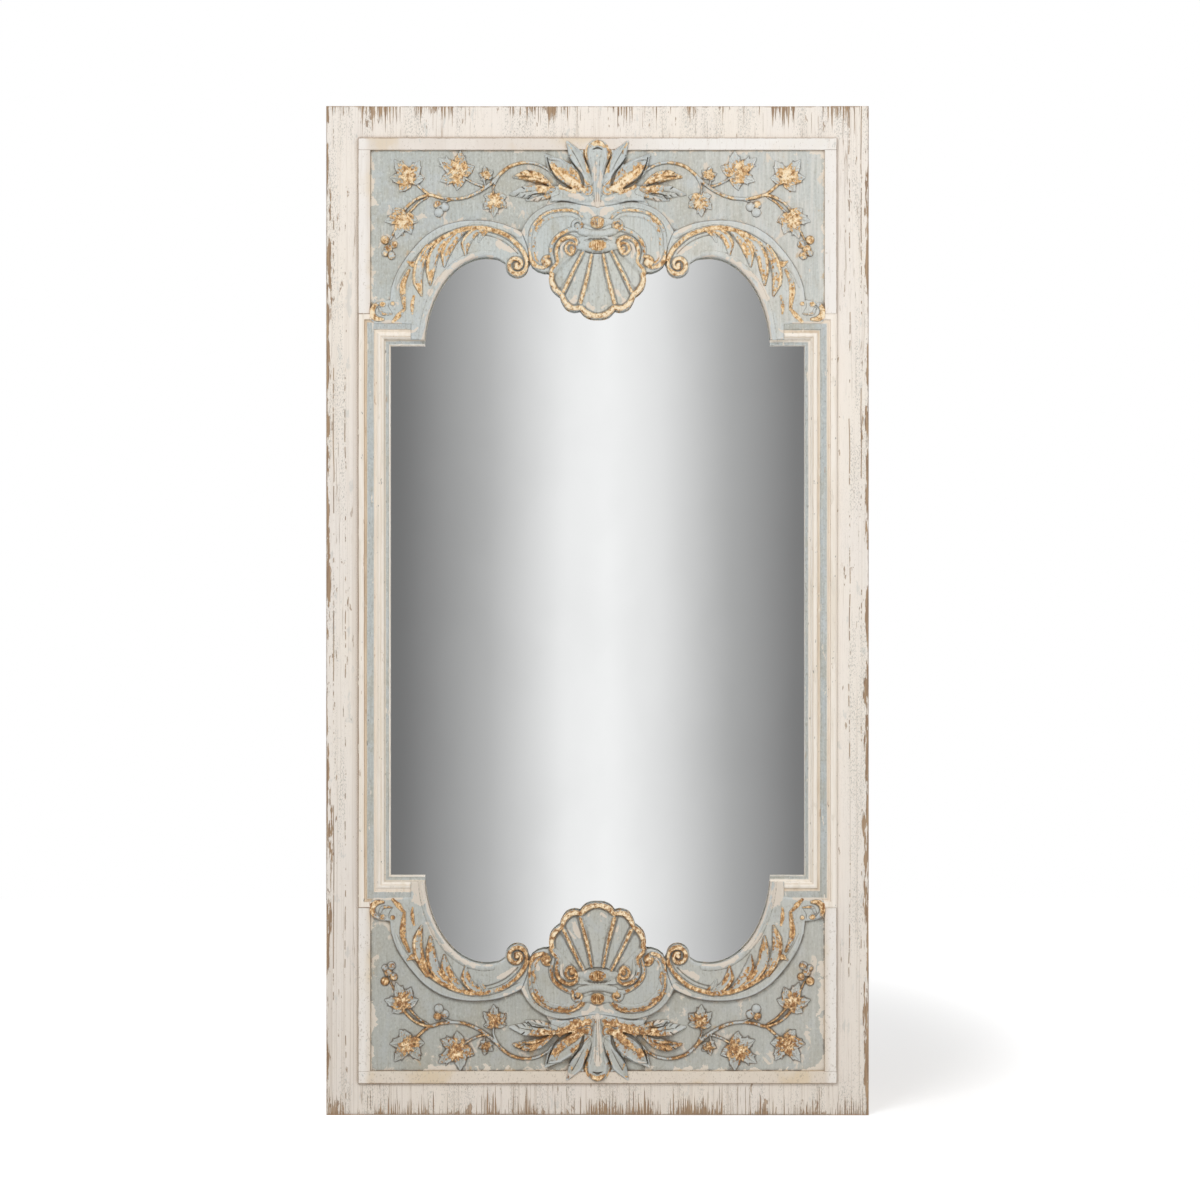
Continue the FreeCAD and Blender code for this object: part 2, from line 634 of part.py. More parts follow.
# Glazing beads and back panel
bead_half = WINDOW_HALF - BEAD_WIDTH
side_bead = block(-WINDOW_HALF, -bead_half, BACK_THICKNESS, GLASS_BACK, CROSS_EDGE, cross_low)
side_bead = side_bead.cut(back_sinks)
top_bead = block(-bead_half, bead_half, BACK_THICKNESS, GLASS_BACK, cross_low - BEAD_WIDTH, cross_low)
top_bead = top_bead.cut(back_sinks)
nodes["left_glazing_bead"] = side_bead
nodes["right_glazing_bead"] = mirrored(side_bead)
ends("glazing_bead", top_bead)
back_half = WINDOW_HALF - BACK_GAP
back_low = CROSS_EDGE + BACK_GAP
back_panel = block(-back_half, back_half, 0, BACK_THICKNESS, back_low, HEIGHT - back_low)
nodes["back_panel"] = back_panel.cut(back_sinks)

# Hanger straps: a plate with a rolled knuckle, countersunk for its screws
strap = block(
    -HANGER_X - STRAP_WIDTH / 2,
    -HANGER_X + STRAP_WIDTH / 2,
    -STRAP_THICKNESS,
    0,
    HANGER_Z - STRAP_LENGTH,
    HANGER_Z,
)
strap = soften(
    strap,
    STRAP_ROUND,
    lambda a, b: not near(a.y, b.y) and a.z < HANGER_Z - 1,
)
knuckle_start = V(-HANGER_X - STRAP_WIDTH / 2, BACK_Y + KNUCKLE_RADIUS, HANGER_Z)
knuckle = Part.makeCylinder(KNUCKLE_RADIUS, STRAP_WIDTH, knuckle_start, V(1, 0, 0))
bore = Part.makeCylinder(KNUCKLE_BORE, STRAP_WIDTH, knuckle_start, V(1, 0, 0))
strap = fused([strap, knuckle]).cut([bore] + left_sinks)
nodes["left_hanger_strap"] = strap
nodes["right_hanger_strap"] = mirrored(strap)

# Hanger rings: a bar through the knuckle, two corners and a round bow
bar_half = STRAP_WIDTH / 2 + RING_PLAY
bow_radius = bar_half + RING_CORNER
axis_y = BACK_Y + KNUCKLE_RADIUS
slant = RING_CORNER * math.sqrt(0.5)


def ring_point(x, drop):
    return V(-HANGER_X + x, axis_y, HANGER_Z - drop)


def ring_arc(a, b, c):
    return Part.Arc(ring_point(*a), ring_point(*b), ring_point(*c)).toShape()


bend = RING_CORNER - slant
bar_start = (-bar_half, 0)
bar_end = (bar_half, 0)
bow_start = (bow_radius, RING_CORNER)
bow_end = (-bow_radius, RING_CORNER)
ring_path = Part.Wire(
    [
        spline([ring_point(*bar_start), ring_point(*bar_end)]),
        ring_arc(bar_end, (bar_half + slant, bend), bow_start),
        ring_arc(bow_start, (0, RING_CORNER + bow_radius), bow_end),
        ring_arc(bow_end, (-bar_half - slant, bend), bar_start),
    ]
)
bar_face = Part.Wire(Part.makeCircle(RING_BAR / 2, ring_point(-bar_half, 0), V(1, 0, 0)))
ring = ring_path.makePipeShell([bar_face], True, False)
ring = ring.rotate(ring_point(0, 0), V(1, 0, 0), RING_LIFT)
nodes["left_hanger_ring"] = ring
nodes["right_hanger_ring"] = mirrored(ring)

# One file for each piece
for name, shape in nodes.items():
    shape.exportStep("parts/" + name + ".step")
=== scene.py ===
import math

import bmesh
import bpy
import numpy as np
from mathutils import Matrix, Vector


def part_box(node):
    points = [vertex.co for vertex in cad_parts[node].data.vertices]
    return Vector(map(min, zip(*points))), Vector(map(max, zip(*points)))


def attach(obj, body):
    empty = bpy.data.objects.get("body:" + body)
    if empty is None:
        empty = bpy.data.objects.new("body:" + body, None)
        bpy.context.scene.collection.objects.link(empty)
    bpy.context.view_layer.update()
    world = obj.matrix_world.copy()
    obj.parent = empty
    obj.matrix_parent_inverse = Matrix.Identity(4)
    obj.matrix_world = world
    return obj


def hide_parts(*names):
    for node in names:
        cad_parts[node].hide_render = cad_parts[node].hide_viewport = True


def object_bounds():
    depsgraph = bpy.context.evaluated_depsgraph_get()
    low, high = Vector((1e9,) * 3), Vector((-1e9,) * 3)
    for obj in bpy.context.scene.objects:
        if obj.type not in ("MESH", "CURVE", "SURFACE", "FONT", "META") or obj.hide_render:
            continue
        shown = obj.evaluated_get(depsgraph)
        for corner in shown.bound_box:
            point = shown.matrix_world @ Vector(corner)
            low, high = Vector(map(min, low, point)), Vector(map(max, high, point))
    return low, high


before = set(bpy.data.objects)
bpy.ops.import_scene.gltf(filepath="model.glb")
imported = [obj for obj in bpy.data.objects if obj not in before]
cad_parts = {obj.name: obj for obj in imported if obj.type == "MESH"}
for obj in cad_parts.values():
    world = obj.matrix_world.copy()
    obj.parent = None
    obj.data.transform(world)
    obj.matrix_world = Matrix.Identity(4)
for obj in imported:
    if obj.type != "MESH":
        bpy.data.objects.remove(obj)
CAD_BOX = [list(c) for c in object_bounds()]

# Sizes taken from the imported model, in metres
HALF = CAD_BOX[1][0]
TOP = CAD_BOX[1][2]
GROUND_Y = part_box("top_panel")[0].y
STRIP_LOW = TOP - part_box("top_strip")[0].z
STRIP_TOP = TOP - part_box("top_strip")[1].z
STRIP_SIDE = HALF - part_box("upper_right_strip")[1].x
STRIP_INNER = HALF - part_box("upper_right_strip")[0].x
MOULD_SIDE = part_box("right_sight_moulding")[1].x
MOULD_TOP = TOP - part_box("upper_right_return")[1].z

# Relief, in millimetres: grid, step along drawn lines, distance where nothing is carved, overlap of forms
PITCH = 1.0
LINE_STEP = 2.5
NOWHERE = 60.0
OVERLAP = 0.7
STRIP_RISE = 7.0
SHARP_DEGREES = 58

# Colours as they show, 0 to 255
BLUE = (190, 191, 183)
BLUE_DARK = (170, 170, 160)
BLUE_PALE = (211, 214, 209)
TAN = (216, 195, 167)
BROWN = (170, 138, 102)
BROWN_DARK = (128, 96, 64)
# Dark glazing colours that also serve as painted shade
GLAZE_AND_SHADE = (92, 78, 62)
GLAZE_AND_SHADE_BROWN = (146, 118, 90)
GOLD_DARK = (150, 105, 64)
GOLD = (228, 186, 131)
GOLD_PALE = (253, 231, 193)

# Stage: lamps by name, place, aim, size in metres and power in watts, then camera, floor, card and world
LAMPS = (
    ("key", (-1.4, -4.3, 3.4), (0, 0, 0.9), 1.7, 98),
    ("fill", (2.0, -3.6, 2.2), (0, 0, 1.0), 2.0, 58),
    ("back", (1.0, 4.6, 3.4), (0, 0, 1.0), 2.0, 70),
)
EYE = (0.0045, -7.0, 0.919)
SENSOR_MM = 36.0
LENS_MM = 117.5
FLOOR_CORNERS = [(-5, -1.1, 0), (5, -1.1, 0), (5, 5.0, 0), (-5, 5.0, 0)]
SHADOW_X = 0.5
SHADOW_Y = 1.2
SHADOW_GLOW = 0.27
CARD_CORNERS = [(-7, -8.5, -3), (7, -8.5, -3), (7, -8.5, 5), (-7, -8.5, 5)]
CARD_REACH = 4.0
CARD_GREYS = (
    (0.0, 255), (0.12, 250), (0.28, 150), (0.37, 98), (0.404, 124), (0.445, 187), (0.483, 246),
    (0.505, 253), (0.53, 235), (0.565, 178), (0.598, 130), (0.63, 114), (0.72, 160), (0.88, 250),
    (1.0, 255),
)
SKY_LIGHT = 0.34


def linear(colour):
    """A display colour as a linear one; none of its values is under 11."""
    return tuple(((c / 255 + 0.055) / 1.055) ** 2.4 for c in colour) + (1.0,)


class Value:
    """An output in a node tree; sums, products and the like make further nodes there."""

    def __init__(self, nodes, socket):
        self.nodes, self.socket = nodes, socket

    def __add__(self, other):
        return self.nodes.math("ADD", self, other)

    def __sub__(self, other):
        return self.nodes.math("SUBTRACT", self, other)

    def __rsub__(self, other):
        return self.nodes.math("SUBTRACT", other, self)

    def __mul__(self, other):
        return self.nodes.math("MULTIPLY", self, other)

    def __pow__(self, other):
        return self.nodes.math("POWER", self, other)

    def __abs__(self):
        return self.nodes.math("ABSOLUTE", self)

    def step(self, low, high):
        """0 below low, 1 above high and smooth between; the other way round where low is the larger."""
        first, last = (0.0, 1.0) if low <= high else (1.0, 0.0)
        values = {0: self, 1: min(low, high), 2: max(low, high), 3: first, 4: last}
        return self.nodes.node("MapRange", values, interpolation_type="SMOOTHSTEP")

    def span(self, low, high, first, last):
        """From first to last as the value goes from low to high."""
        return self.nodes.node("MapRange", {0: self, 1: low, 2: high, 3: first, 4: last})


def most(value, *others):
    for other in others:
        value = value.nodes.math("MAXIMUM", value, other)
    return value


def least(value, other):
    return value.nodes.math("MINIMUM", value, other)


class Nodes:
    """A node tree that is put together from short calls."""

    def __init__(self, tree):
        self.tree = tree

    def link(self, value, socket):
        self.tree.links.new(value.socket, socket)

    def node(self, kind, inputs=(), out=0, **settings):
        made = self.tree.nodes.new("ShaderNode" + kind)
        for key, value in settings.items():
            setattr(made, key, value)
        for key, value in dict(inputs).items():
            if isinstance(value, Value):
                self.link(value, made.inputs[key])
            else:
                made.inputs[key].default_value = value
        return Value(self, made.outputs[out])

    def math(self, operation, a, b=0.0, clamp=False):
        return self.node("Math", {0: a, 1: b}, operation=operation, use_clamp=clamp)

    def seen_straight(self):
        """1 for the camera and for mirror images, 0 for light that is scattered."""
        return most(*(self.node("LightPath", out=ray) for ray in ("Is Camera Ray", "Is Glossy Ray")))


class Finish(Nodes):
    """A material; x, y and z are the place in the mirror's own frame."""

    def __init__(self, name, **constants):
        self.material = bpy.data.materials.new(name)
        self.material.use_nodes = True
        super().__init__(self.material.node_tree)
        self.shader = self.tree.nodes["Principled BSDF"]
        for socket, value in constants.items():
            self.shader.inputs[socket.replace("_", " ")].default_value = value
        self.place = self.node("TexCoord", out="Object")
        self.x, self.y, self.z = (self.node("SeparateXYZ", {0: self.place}, out=k) for k in range(3))

    def sided(self, left, right):
        """A value that is left on the left half and right on the right half."""
        return self.x.span(-0.1, 0.1, left, right)

    def noise(self, scale, detail=3.0, rough=0.55, bend=0.0):
        """Noise whose scale is one number, or three for a stretched one."""
        vector = self.place
        if isinstance(scale, tuple):
            vector = self.node("VectorMath", {0: self.place, 1: scale}, operation="MULTIPLY")
            scale = 1.0
        values = {"Vector": vector, "Scale": scale, "Detail": detail, "Roughness": rough}
        return self.node("TexNoise", {**values, "Distortion": bend})

    def spots(self, low, high, *noise):
        """Spots where a noise rises from low to high."""
        return self.noise(*noise).step(low, high)

    def sway(self, size, *noise):
        """Noise about zero of a given size."""
        return (self.noise(*noise) - 0.5) * size

    def mix(self, factor, a, b):
        """From a to b by the factor; each is a node's colour or a display colour."""
        a, b = (linear(c) if isinstance(c, tuple) else c for c in (a, b))
        return self.node("Mix", {0: factor, 6: a, 7: b}, out=2, data_type="RGBA")

    def cover(self, tone, *layers):
        """The tone under layers, each with its colour, where it lies and how much of it."""
        for colour, where, amount in layers:
            tone = self.mix(where * amount, tone, colour)
        return tone

    def from_edge(self, half):
        """Distances in from the upright edge at half and from the nearer end of the frame."""
        return half - abs(self.x), least(TOP - self.z, self.z)

    def facing(self):
        """Which way a face looks: -1 on the front, 1 on the back."""
        return self.node("SeparateXYZ", {0: self.node("NewGeometry", out="Normal")}, out=1)

    def attribute(self, name):
        return self.node("Attribute", attribute_name=name, out="Fac")

    def recess(self, reach, samples=6):
        """How far a point is shut in by what stands round it, from 0 to 1."""
        return 1.0 - self.node("AmbientOcclusion", {"Distance": reach}, out="AO", samples=samples)

    def finish(self, colour, roughness=None, metallic=None, height=None, depth=0.0006, strength=0.7):
        ends = {"Base Color": colour, "Roughness": roughness, "Metallic": metallic}
        if height is not None:
            values = {"Height": height, "Distance": depth, "Strength": strength}
            ends["Normal"] = self.node("Bump", values, out="Normal")
        for socket, value in ends.items():
            if value is not None:
                self.link(value, self.shader.inputs[socket])
        return self.material


def board_paint(name, grain):
    """White paint on boards, worn through to grey-blue specks, brown streaks and chips."""
    f = Finish(name, Roughness=0.62)
    across, ends = f.from_edge(HALF)
    front = f.facing().step(-0.3, -0.8)
    edges = front * 0.75 + 0.25
    fibre = f.noise((420, 420, 22), 3, 0.6)
    # Undercoat in fine upright dashes: grey-blue in patches, beige all over
    patch = f.spots(0.42, 0.60, (46, 46, 5), 3, 0.6)
    clean = across.step(0.032, 0.040) * across.step(0.064, 0.060)
    worn = 1.0 - clean * ends.step(0.05, 0.07) * 0.8
    dash = f.noise((560, 560, 230), 2, 0.7) + patch * 0.13
    specks = dash.step(0.65, 0.72) * (worn * 0.66)
    grit = f.spots(0.635, 0.71, (480, 480, 150), 3, 0.7) * (worn * 0.44)
    tone = f.cover(
        f.mix(f.spots(0.35, 0.7, (9, 9, 3)), (244, 236, 227), (246, 237, 225)),
        ((215, 204, 192), fibre.step(0.52, 0.74), 0.4),
        ((206, 192, 176), f.spots(0.55, 0.64, (250, 250, 1.7), 3, 0.6), f.z.step(1.0, 0.2) * 0.3 + 0.18),
        ((184, 180, 170), specks, 1.0),
        ((178, 158, 136), grit, 1.0),
        ((198, 199, 194), f.spots(0.60, 0.68, (60, 60, 22), 4, 0.65), 0.4),
        # Darker and browner towards the bottom: painted shade
        ((196, 178, 158), f.z.step(0.7, 0.0), 0.16),
    )

    # Long upright cracks, broken along their length
    def crack(at, wander):
        away = abs(across + f.sway(wander, (2, 2, 6.0), 2) - at)
        broken = f.noise((11, 11, 3.1), 2) * 0.6 + f.noise((90, 90, 60), 2) * 0.4
        return away.step(0.0011, 0.0004) * broken.step(0.50, 0.53)

    fine = abs(f.noise((190, 190, 2.9), 2, 0.5) - 0.5).step(0.012, 0.003)
    fine = fine * (f.spots(0.56, 0.63, (30, 30, 1.9), 2) * ends.step(0.01, 0.06))
    cracks = most(crack(0.0135, 0.006), crack(0.0345, 0.010), fine * 0.6)
    # Thin streaks and broad patches that run in from the upper and lower edges along the grain
    groups = f.spots(0.40, 0.64, (19, 19, 0.5), 2, 0.5)
    reach = f.math("SUBTRACT", 1.0, ends * 19.0, True) * edges
    low_end = f.z.step(0.08, 0.02) * 0.075
    lift = reach**1.25 * (groups * 0.17 + 0.025 + low_end)
    streaks = (f.noise((350, 350, 8), 3, 0.6) + lift).step(0.655, 0.675) * reach.step(0.0, 0.05)
    lift = reach**2.5 * (groups * 0.10 + 0.02 + low_end)
    patches = (f.noise((90, 90, 24), 4, 0.65) + lift).step(0.66, 0.69)
    # Chips along the outer edges
    side = f.math("SUBTRACT", 1.0, across * 62.0, True) * edges
    chip = f.noise((120, 120, 14), 4, 0.65) + side * 0.26
    chips = most(chip.step(0.68, 0.71), f.spots(0.735, 0.75, (170, 170, 34), 4, 0.7))
    rim = least(across, ends) + f.noise((60, 60, 40), 3) * 0.006
    rim = rim.step(0.0058, 0.0030) * most(front, f.spots(0.58, 0.64, (60, 60, 12), 4, 0.65))
    bare = most(cracks, streaks, patches * 0.8, chips, rim * 0.8)
    under = f.mix(f.spots(0.36, 0.62, (420, 420, 16)), BROWN_DARK, BROWN)
    # Glazing and painted shade in the corners, heavier on the left, and a soft band of painted shade along
    # the left boards' inner edge; the backs are left bare
    inside = across.step(0.042, 0.058) * ends.step(0.36, 0.40)
    corner_glaze_and_shade = most(f.recess(0.010).step(0.24, 0.48) * f.sided(0.8, 0.3), inside * f.sided(0.24, 0.0))
    spill = least(across, ends) + f.sway(0.010, (40, 40, 30), 3)
    behind = f.facing().step(0.6, 0.9) * spill.step(0.0015, 0.003)
    sawn = f.mix(f.spots(0.36, 0.66, grain, 5, 0.65, 0.3), (205, 178, 138), (172, 138, 98))
    colour = f.cover(tone, (under, bare, 0.9), (GLAZE_AND_SHADE_BROWN, corner_glaze_and_shade, 1.0), (sawn, behind, 1.0))
    height = fibre * 0.35 - (bare + (specks + grit) * 0.4)
    return f.finish(colour, height=height, depth=0.0007)


def strip_paint():
    """Smooth cream-white paint on the raised strips, with dark glazing and painted shade in the corners.
    """
    f = Finish("strip_paint", Roughness=0.55)
    across, ends = f.from_edge(HALF)
    ochre = f.spots(0.54, 0.68, (9, 9, 9), 4, 0.6) * 0.6 + f.z.step(0.6, 0.05) * 0.35
    # Paler towards the upper right
    paler_upper_right = f.x.step(0.0, 0.16) * f.z.step(0.9, 1.6)
    rub = f.spots(0.66, 0.70, (70, 70, 40), 4, 0.65)
    fibre = f.noise((300, 300, 18), 3)
    grit = f.noise((300, 300, 200), 3, 0.7) + f.z.step(0.6, 0.1) * 0.05
    run = least(across - STRIP_SIDE, ends - STRIP_TOP)
    seam = (run + f.sway(0.0022, (90, 90, 60), 3)).step(0.0021, 0.0007)
    ragged = f.recess(0.007) + f.sway(0.7, (45, 45, 45), 4)
    colour = f.cover(
        f.mix(f.spots(0.35, 0.7, (14, 14, 8)), (230, 220, 209), (238, 230, 221)),
        ((226, 207, 178), ochre, 1.0),
        ((250, 246, 241), across.step(0.080, 0.066), 0.65),
        ((247, 245, 241), paler_upper_right * across.step(0.066, 0.080), 0.65),
        ((204, 205, 199), rub, 0.6),
        ((214, 203, 190), fibre.step(0.55, 0.75), 0.3),
        ((176, 160, 140), grit.step(0.62, 0.70), 0.5),
        # A brown glazing line along the outer edge, and painted shade in the corners
        (GLAZE_AND_SHADE_BROWN, most(seam * 0.75, ragged.step(0.22, 0.5) * 0.8), 1.0),
    )
    return f.finish(colour, height=fibre + rub * 0.6, depth=0.0004)


def blue_tone(f, base, cool):
    """Dry-brushed grey-blue paint, and the marks of the brush."""
    brush = f.noise((330, 330, 13), 4, 0.6)
    grit = f.noise((270, 270, 190), 3, 0.7)
    tone = f.cover(
        f.mix(f.spots(0.35, 0.68, (7, 7, 5)), base, cool),
        (BLUE_DARK, brush.step(0.50, 0.68), 0.55),
        (BLUE_PALE, f.spots(0.54, 0.70, (240, 240, 17)), 0.5),
        ((177, 172, 154), f.spots(0.52, 0.66, (17, 17, 13), 4, 0.6), 0.45),
        ((199, 206, 211), f.spots(0.53, 0.66, (23, 23, 19), 3, 0.6, 0.3), 0.34),
        ((216, 218, 211), grit.step(0.46, 0.34), 0.5),
        # Darker towards the bottom: painted shade
        ((168, 162, 148), f.z.step(0.75, 0.15), 0.35),
        ((152, 148, 134), grit.step(0.54, 0.68), 0.5),
    )
    return tone, brush


def paler_on_right(f, tone):
    """The tone made paler towards the right-hand side, most of all at the top."""
    streak = f.spots(0.42, 0.62, (150, 150, 9), 3, 0.6)
    side = f.x.step(-0.06, 0.36) * (f.z.step(0.3, 1.4) * 0.62 + 0.38)
    return f.cover(tone, ((229, 226, 219), side, streak * 0.36 + 0.22))


def ground_paint():
    """The carved panels' ground, rubbed to cream at its borders and darkened with glazing and painted
    shade along what stands on it, most towards the bottom.
    """
    f = Finish("blue_paint", Roughness=0.6)
    tone, brush = blue_tone(f, BLUE, (188, 193, 189))
    across, ends = f.from_edge(HALF)
    border = least(across - STRIP_INNER, ends - STRIP_LOW)
    shut = f.recess(0.010, 8)
    rub = (f.noise((38, 38, 30), 4, 0.6, 0.4) + shut * 0.22).step(0.632, 0.668)
    ragged = border - (f.noise((21, 21, 21), 5, 0.66) * 0.11 + f.z.step(1.2, 0.6) * 0.005)
    spilt = ragged.step(-0.0600, -0.0612)
    seam = (border - f.noise((60, 60, 60), 3) * 0.006).step(-0.0012, -0.0024)
    ochre = (f.noise((55, 55, 45), 4) + shut * 0.25).step(0.70, 0.76)
    # Glazing and painted shade along what stands on the ground, heavier towards the bottom
    line = (shut + f.z.step(0.75, 0.35) * 0.14 + f.sway(0.45, 70, 3)).step(0.34, 0.62)
    colour = f.cover(
        paler_on_right(f, tone),
        ((226, 214, 198), rub, 0.85),
        ((232, 221, 206), spilt, 0.85),
        ((196, 168, 130), seam, 0.55),
        ((205, 176, 132), ochre, 0.6),
        (GLAZE_AND_SHADE, line, 0.82 - spilt * 0.5),
    )
    return f.finish(colour, height=brush + rub * 0.7, depth=0.0005)


def moulding_paint():
    """Bands of white, tan, grey-blue and cream along the stepped moulding."""
    f = Finish("moulding_paint", Roughness=0.55)
    across, ends = f.from_edge(MOULD_SIDE)
    run = least(across, ends - MOULD_TOP) + f.sway(0.0026, (60, 60, 9), 3) + f.sided(0.0, -0.0018)
    blue, brush = blue_tone(f, (190, 193, 189), (187, 193, 193))
    cream = f.mix(f.spots(0.4, 0.7, (120, 120, 8)), (250, 241, 229), (241, 230, 214))
    tan = f.mix(f.spots(0.4, 0.65, (90, 90, 14)), TAN, (194, 168, 136))
    chips = f.spots(0.63, 0.65, (110, 110, 26), 4, 0.65)

    def band(low, high, soft=0.0011):
        return run.step(low - soft, low + soft) * run.step(high + soft, high - soft)

    colour = f.cover(
        cream,
        # Brown seam line by the board, with painted shade that makes it darker on the left
        ((140, 110, 82), run.step(0.0022, 0.0010), f.sided(0.85, 0.12)),
        (tan, band(0.0108, 0.0165), f.sided(0.85, 0.4)),
        (blue, band(0.0165, 0.0285), 1.0),
        (tan, band(0.0287, 0.0335), f.sided(0.35, 0.7)),
        (tan, band(0.0402, 0.0420, 0.0007), 0.5),
        ((208, 196, 178), band(0.0462, 0.0495), f.sided(0.8, 0.25)),
        (blue, band(0.0492, 0.0550), 1.0),
        ((176, 142, 108), f.spots(0.665, 0.69, (150, 150, 30), 4, 0.65), 0.6),
        ((236, 226, 211), chips, 0.8),
        ((120, 118, 108), f.spots(0.70, 0.73, (230, 230, 90), 2), 0.7),
        # Painted shade in the corners, heavier on the left
        ((160, 136, 108), f.recess(0.006).step(0.35, 0.7), f.sided(0.5, 0.25)),
    )
    return f.finish(colour, height=brush + chips, depth=0.0004)


def carved_paint():
    """Grey-blue carving with rubbed gold where the gild value is high, dark glazing and painted shade in
    the cuts and hollows, and painted highlights on its ridges.
    """
    f = Finish("carved_gilt", Specular_IOR_Level=0.45)
    tone, brush = blue_tone(f, (203, 205, 198), (197, 203, 201))
    gild, ridge = f.attribute("gild"), f.attribute("ridge")
    wear = f.noise((42, 42, 36), 4, 0.6, 0.5) + ridge * 0.05 + f.attribute("rub") * 0.3
    # Gold leaf breaks up in small flakes and in larger worn patches
    rough = f.noise(240, 5, 0.66) * 1.9 + f.noise((52, 52, 40), 3, 0.6) * 2.0
    leaf = (gild + ridge * 0.16 + 1.38 - rough).step(-0.06, 0.06) * gild.step(0.03, 0.2)
    shine = f.noise((165, 165, 140), 4, 0.7)
    # Towards the bottom the gold is darker and the glazing heavier: painted shade
    lower = f.z.step(0.75, 0.15) * 0.09
    tint = shine - lower
    # Pale gold and cream: random flecks, and painted highlights on ridges and on the most gilt parts
    light = tint + (ridge * 0.06 + gild.step(0.84, 1.0) * 0.09)
    gold = f.cover(
        GOLD_DARK,
        (GOLD, tint.step(0.32, 0.52), 1.0),
        (GOLD_PALE, light.step(0.48, 0.66), 1.0),
        ((252, 238, 216), light.step(0.60, 0.76), 0.6),
    )
    # Dark glazing and painted shade from the cavity attribute
    glaze_and_cavity_shade = f.attribute("cavity") + f.sway(0.5, 150, 3) + lower * 1.6
    dark = glaze_and_cavity_shade.step(0.38, 0.90) * 0.66
    colour = f.cover(
        paler_on_right(f, tone),
        # Painted highlight: pale blue on the ridges
        ((214, 221, 224), ridge, 0.4),
        ((230, 217, 201), wear.step(0.655, 0.69), 0.85),
        (gold, leaf, 1.0),
        (GLAZE_AND_SHADE, dark, 1.0),
        # Painted shade where the carving is shut in
        (GLAZE_AND_SHADE, f.recess(0.005, 5).step(0.5, 0.9), 0.36),
    )
    metallic = leaf * (1.0 - dark) * 0.38
    height = brush * 0.3 + (leaf * (shine + 0.35) + f.noise(210, 4) * 0.8)
    return f.finish(colour, leaf.span(0.0, 1.0, 0.6, 0.36), metallic, height, 0.0009, 0.8)


def wood(name, light, dark, grain):
    """Bare sawn wood with the grain along the long way of the piece."""
    f = Finish(name, Roughness=0.7)
    rings = f.noise(grain, 4, 0.6, 0.6)
    pores = f.noise(tuple(g * 6 for g in grain), 3, 0.6)
    colour = f.cover(light, (dark, rings.step(0.35, 0.68), 1.0), (dark, pores.step(0.56, 0.7), 0.5))
    return f.finish(colour, height=rings + pores * 0.7, depth=0.0004)


def steel():
    """Zinc-plated steel with a faint brushing."""
    f = Finish("steel", Metallic=1.0)
    marks, dull = f.noise((900, 900, 120), 3, 0.6), f.noise(60, 4, 0.6)
    colour = f.mix(dull.step(0.4, 0.7), (196, 194, 186), (160, 156, 146))
    return f.finish(colour, (marks + dull).span(0.6, 1.4, 0.26, 0.46), height=marks, depth=0.0002)


def silvering():
    """A silvered plate, faintly clouded by age."""
    f = Finish("mirror", Metallic=1.0)
    cloud = f.noise((6, 6, 4), 3, 0.5)
    colour = f.mix(cloud.step(0.4, 0.7), (243, 244, 244), (239, 240, 240))
    return f.finish(colour, cloud.span(0.3, 0.7, 0.015, 0.03))


def smooth_line(points):
    """Points along a smooth line through the given ones."""
    p = np.array(points, float)
    s = np.concatenate([[0.0], np.cumsum(np.hypot(*np.diff(p, axis=0).T))])
    slope = np.gradient(p, s, axis=0)
    line = []
    for k in range(len(p) - 1):
        span = s[k + 1] - s[k]
        t = np.linspace(0, 1, max(2, int(span / LINE_STEP) + 1), endpoint=False)[:, None]
        a, b = 2 * t**3 - 3 * t**2 + 1, t**3 - 2 * t**2 + t
        c, d = -2 * t**3 + 3 * t**2, t**3 - t**2
        line.append(a * p[k] + b * span * slope[k] + c * p[k + 1] + d * span * slope[k + 1])
    return np.concatenate(line + [p[-1:]])


def joined(*lines):
    """The smooth lines through some sets of points, end to end, as one list."""
    out = []
    for line in lines:
        out += list(smooth_line(line))
    return out


def spiral(u, v, start, end, first, turns, count=26):
    """A volute about (u, v) whose radius closes from start to end; first is in degrees."""
    out = []
    for k in range(count):
        share = k / (count - 1)
        angle = math.radians(first + 360 * turns * share)
        r = start + (end - start) * share
        out.append((u - r * math.cos(angle), v + r * math.sin(angle)))
    return out


def beside(points, away, turns):
    """Points moved aside by a distance, each in its own direction."""
    return [(u + away * math.cos(a), v - away * math.sin(a)) for (u, v), a in zip(points, turns)]


def spread(values, along):
    """Values that are given at even steps of a line, at places along it."""
    values = np.atleast_1d(values)
    return np.interp(along, np.linspace(0, 1, len(values)), values)


def blurred(field, reach):
    """The field smoothed over about reach points each way."""
    for _ in range(3):
        for axis in (0, 1):
            pad = [(reach + 1, reach) if a == axis else (0, 0) for a in (0, 1)]
            total = np.cumsum(np.pad(field, pad, mode="edge"), axis)
            size = field.shape[axis]
            high = np.take(total, range(2 * reach + 1, 2 * reach + 1 + size), axis)
            low = np.take(total, range(0, size), axis)
            field = (high - low) / (2 * reach + 1)
    return field


def profile(form, q, side):
    """Height across a carved form, 0 to 1, where q is 0 on its line and 1 at its edge."""
    q = np.clip(q, 0, 1)
    if form == "flat":
        return np.clip((1 - q) / 0.3, 0, 1) ** 0.6
    if form == "roof":
        return 0.35 + 0.65 * (1 - q)
    if form == "vein":
        return 0.42 + 0.30 * np.cos(q * math.pi * 1.1) ** 2 + 0.28 * np.exp(-((q / 0.16) ** 2))
    if form == "blade":
        return np.clip((1 - q) / 0.18, 0.3, 1) ** 0.7 * (0.74 - 0.26 * side * np.sin(q * math.pi / 2))
    if form == "scoop":
        return np.clip((1 - q) / 0.16, 0.35, 1) ** 0.7 * (0.52 + 0.48 * q**1.6)
    return np.sqrt(np.clip(1 - q**2, 0, 1))


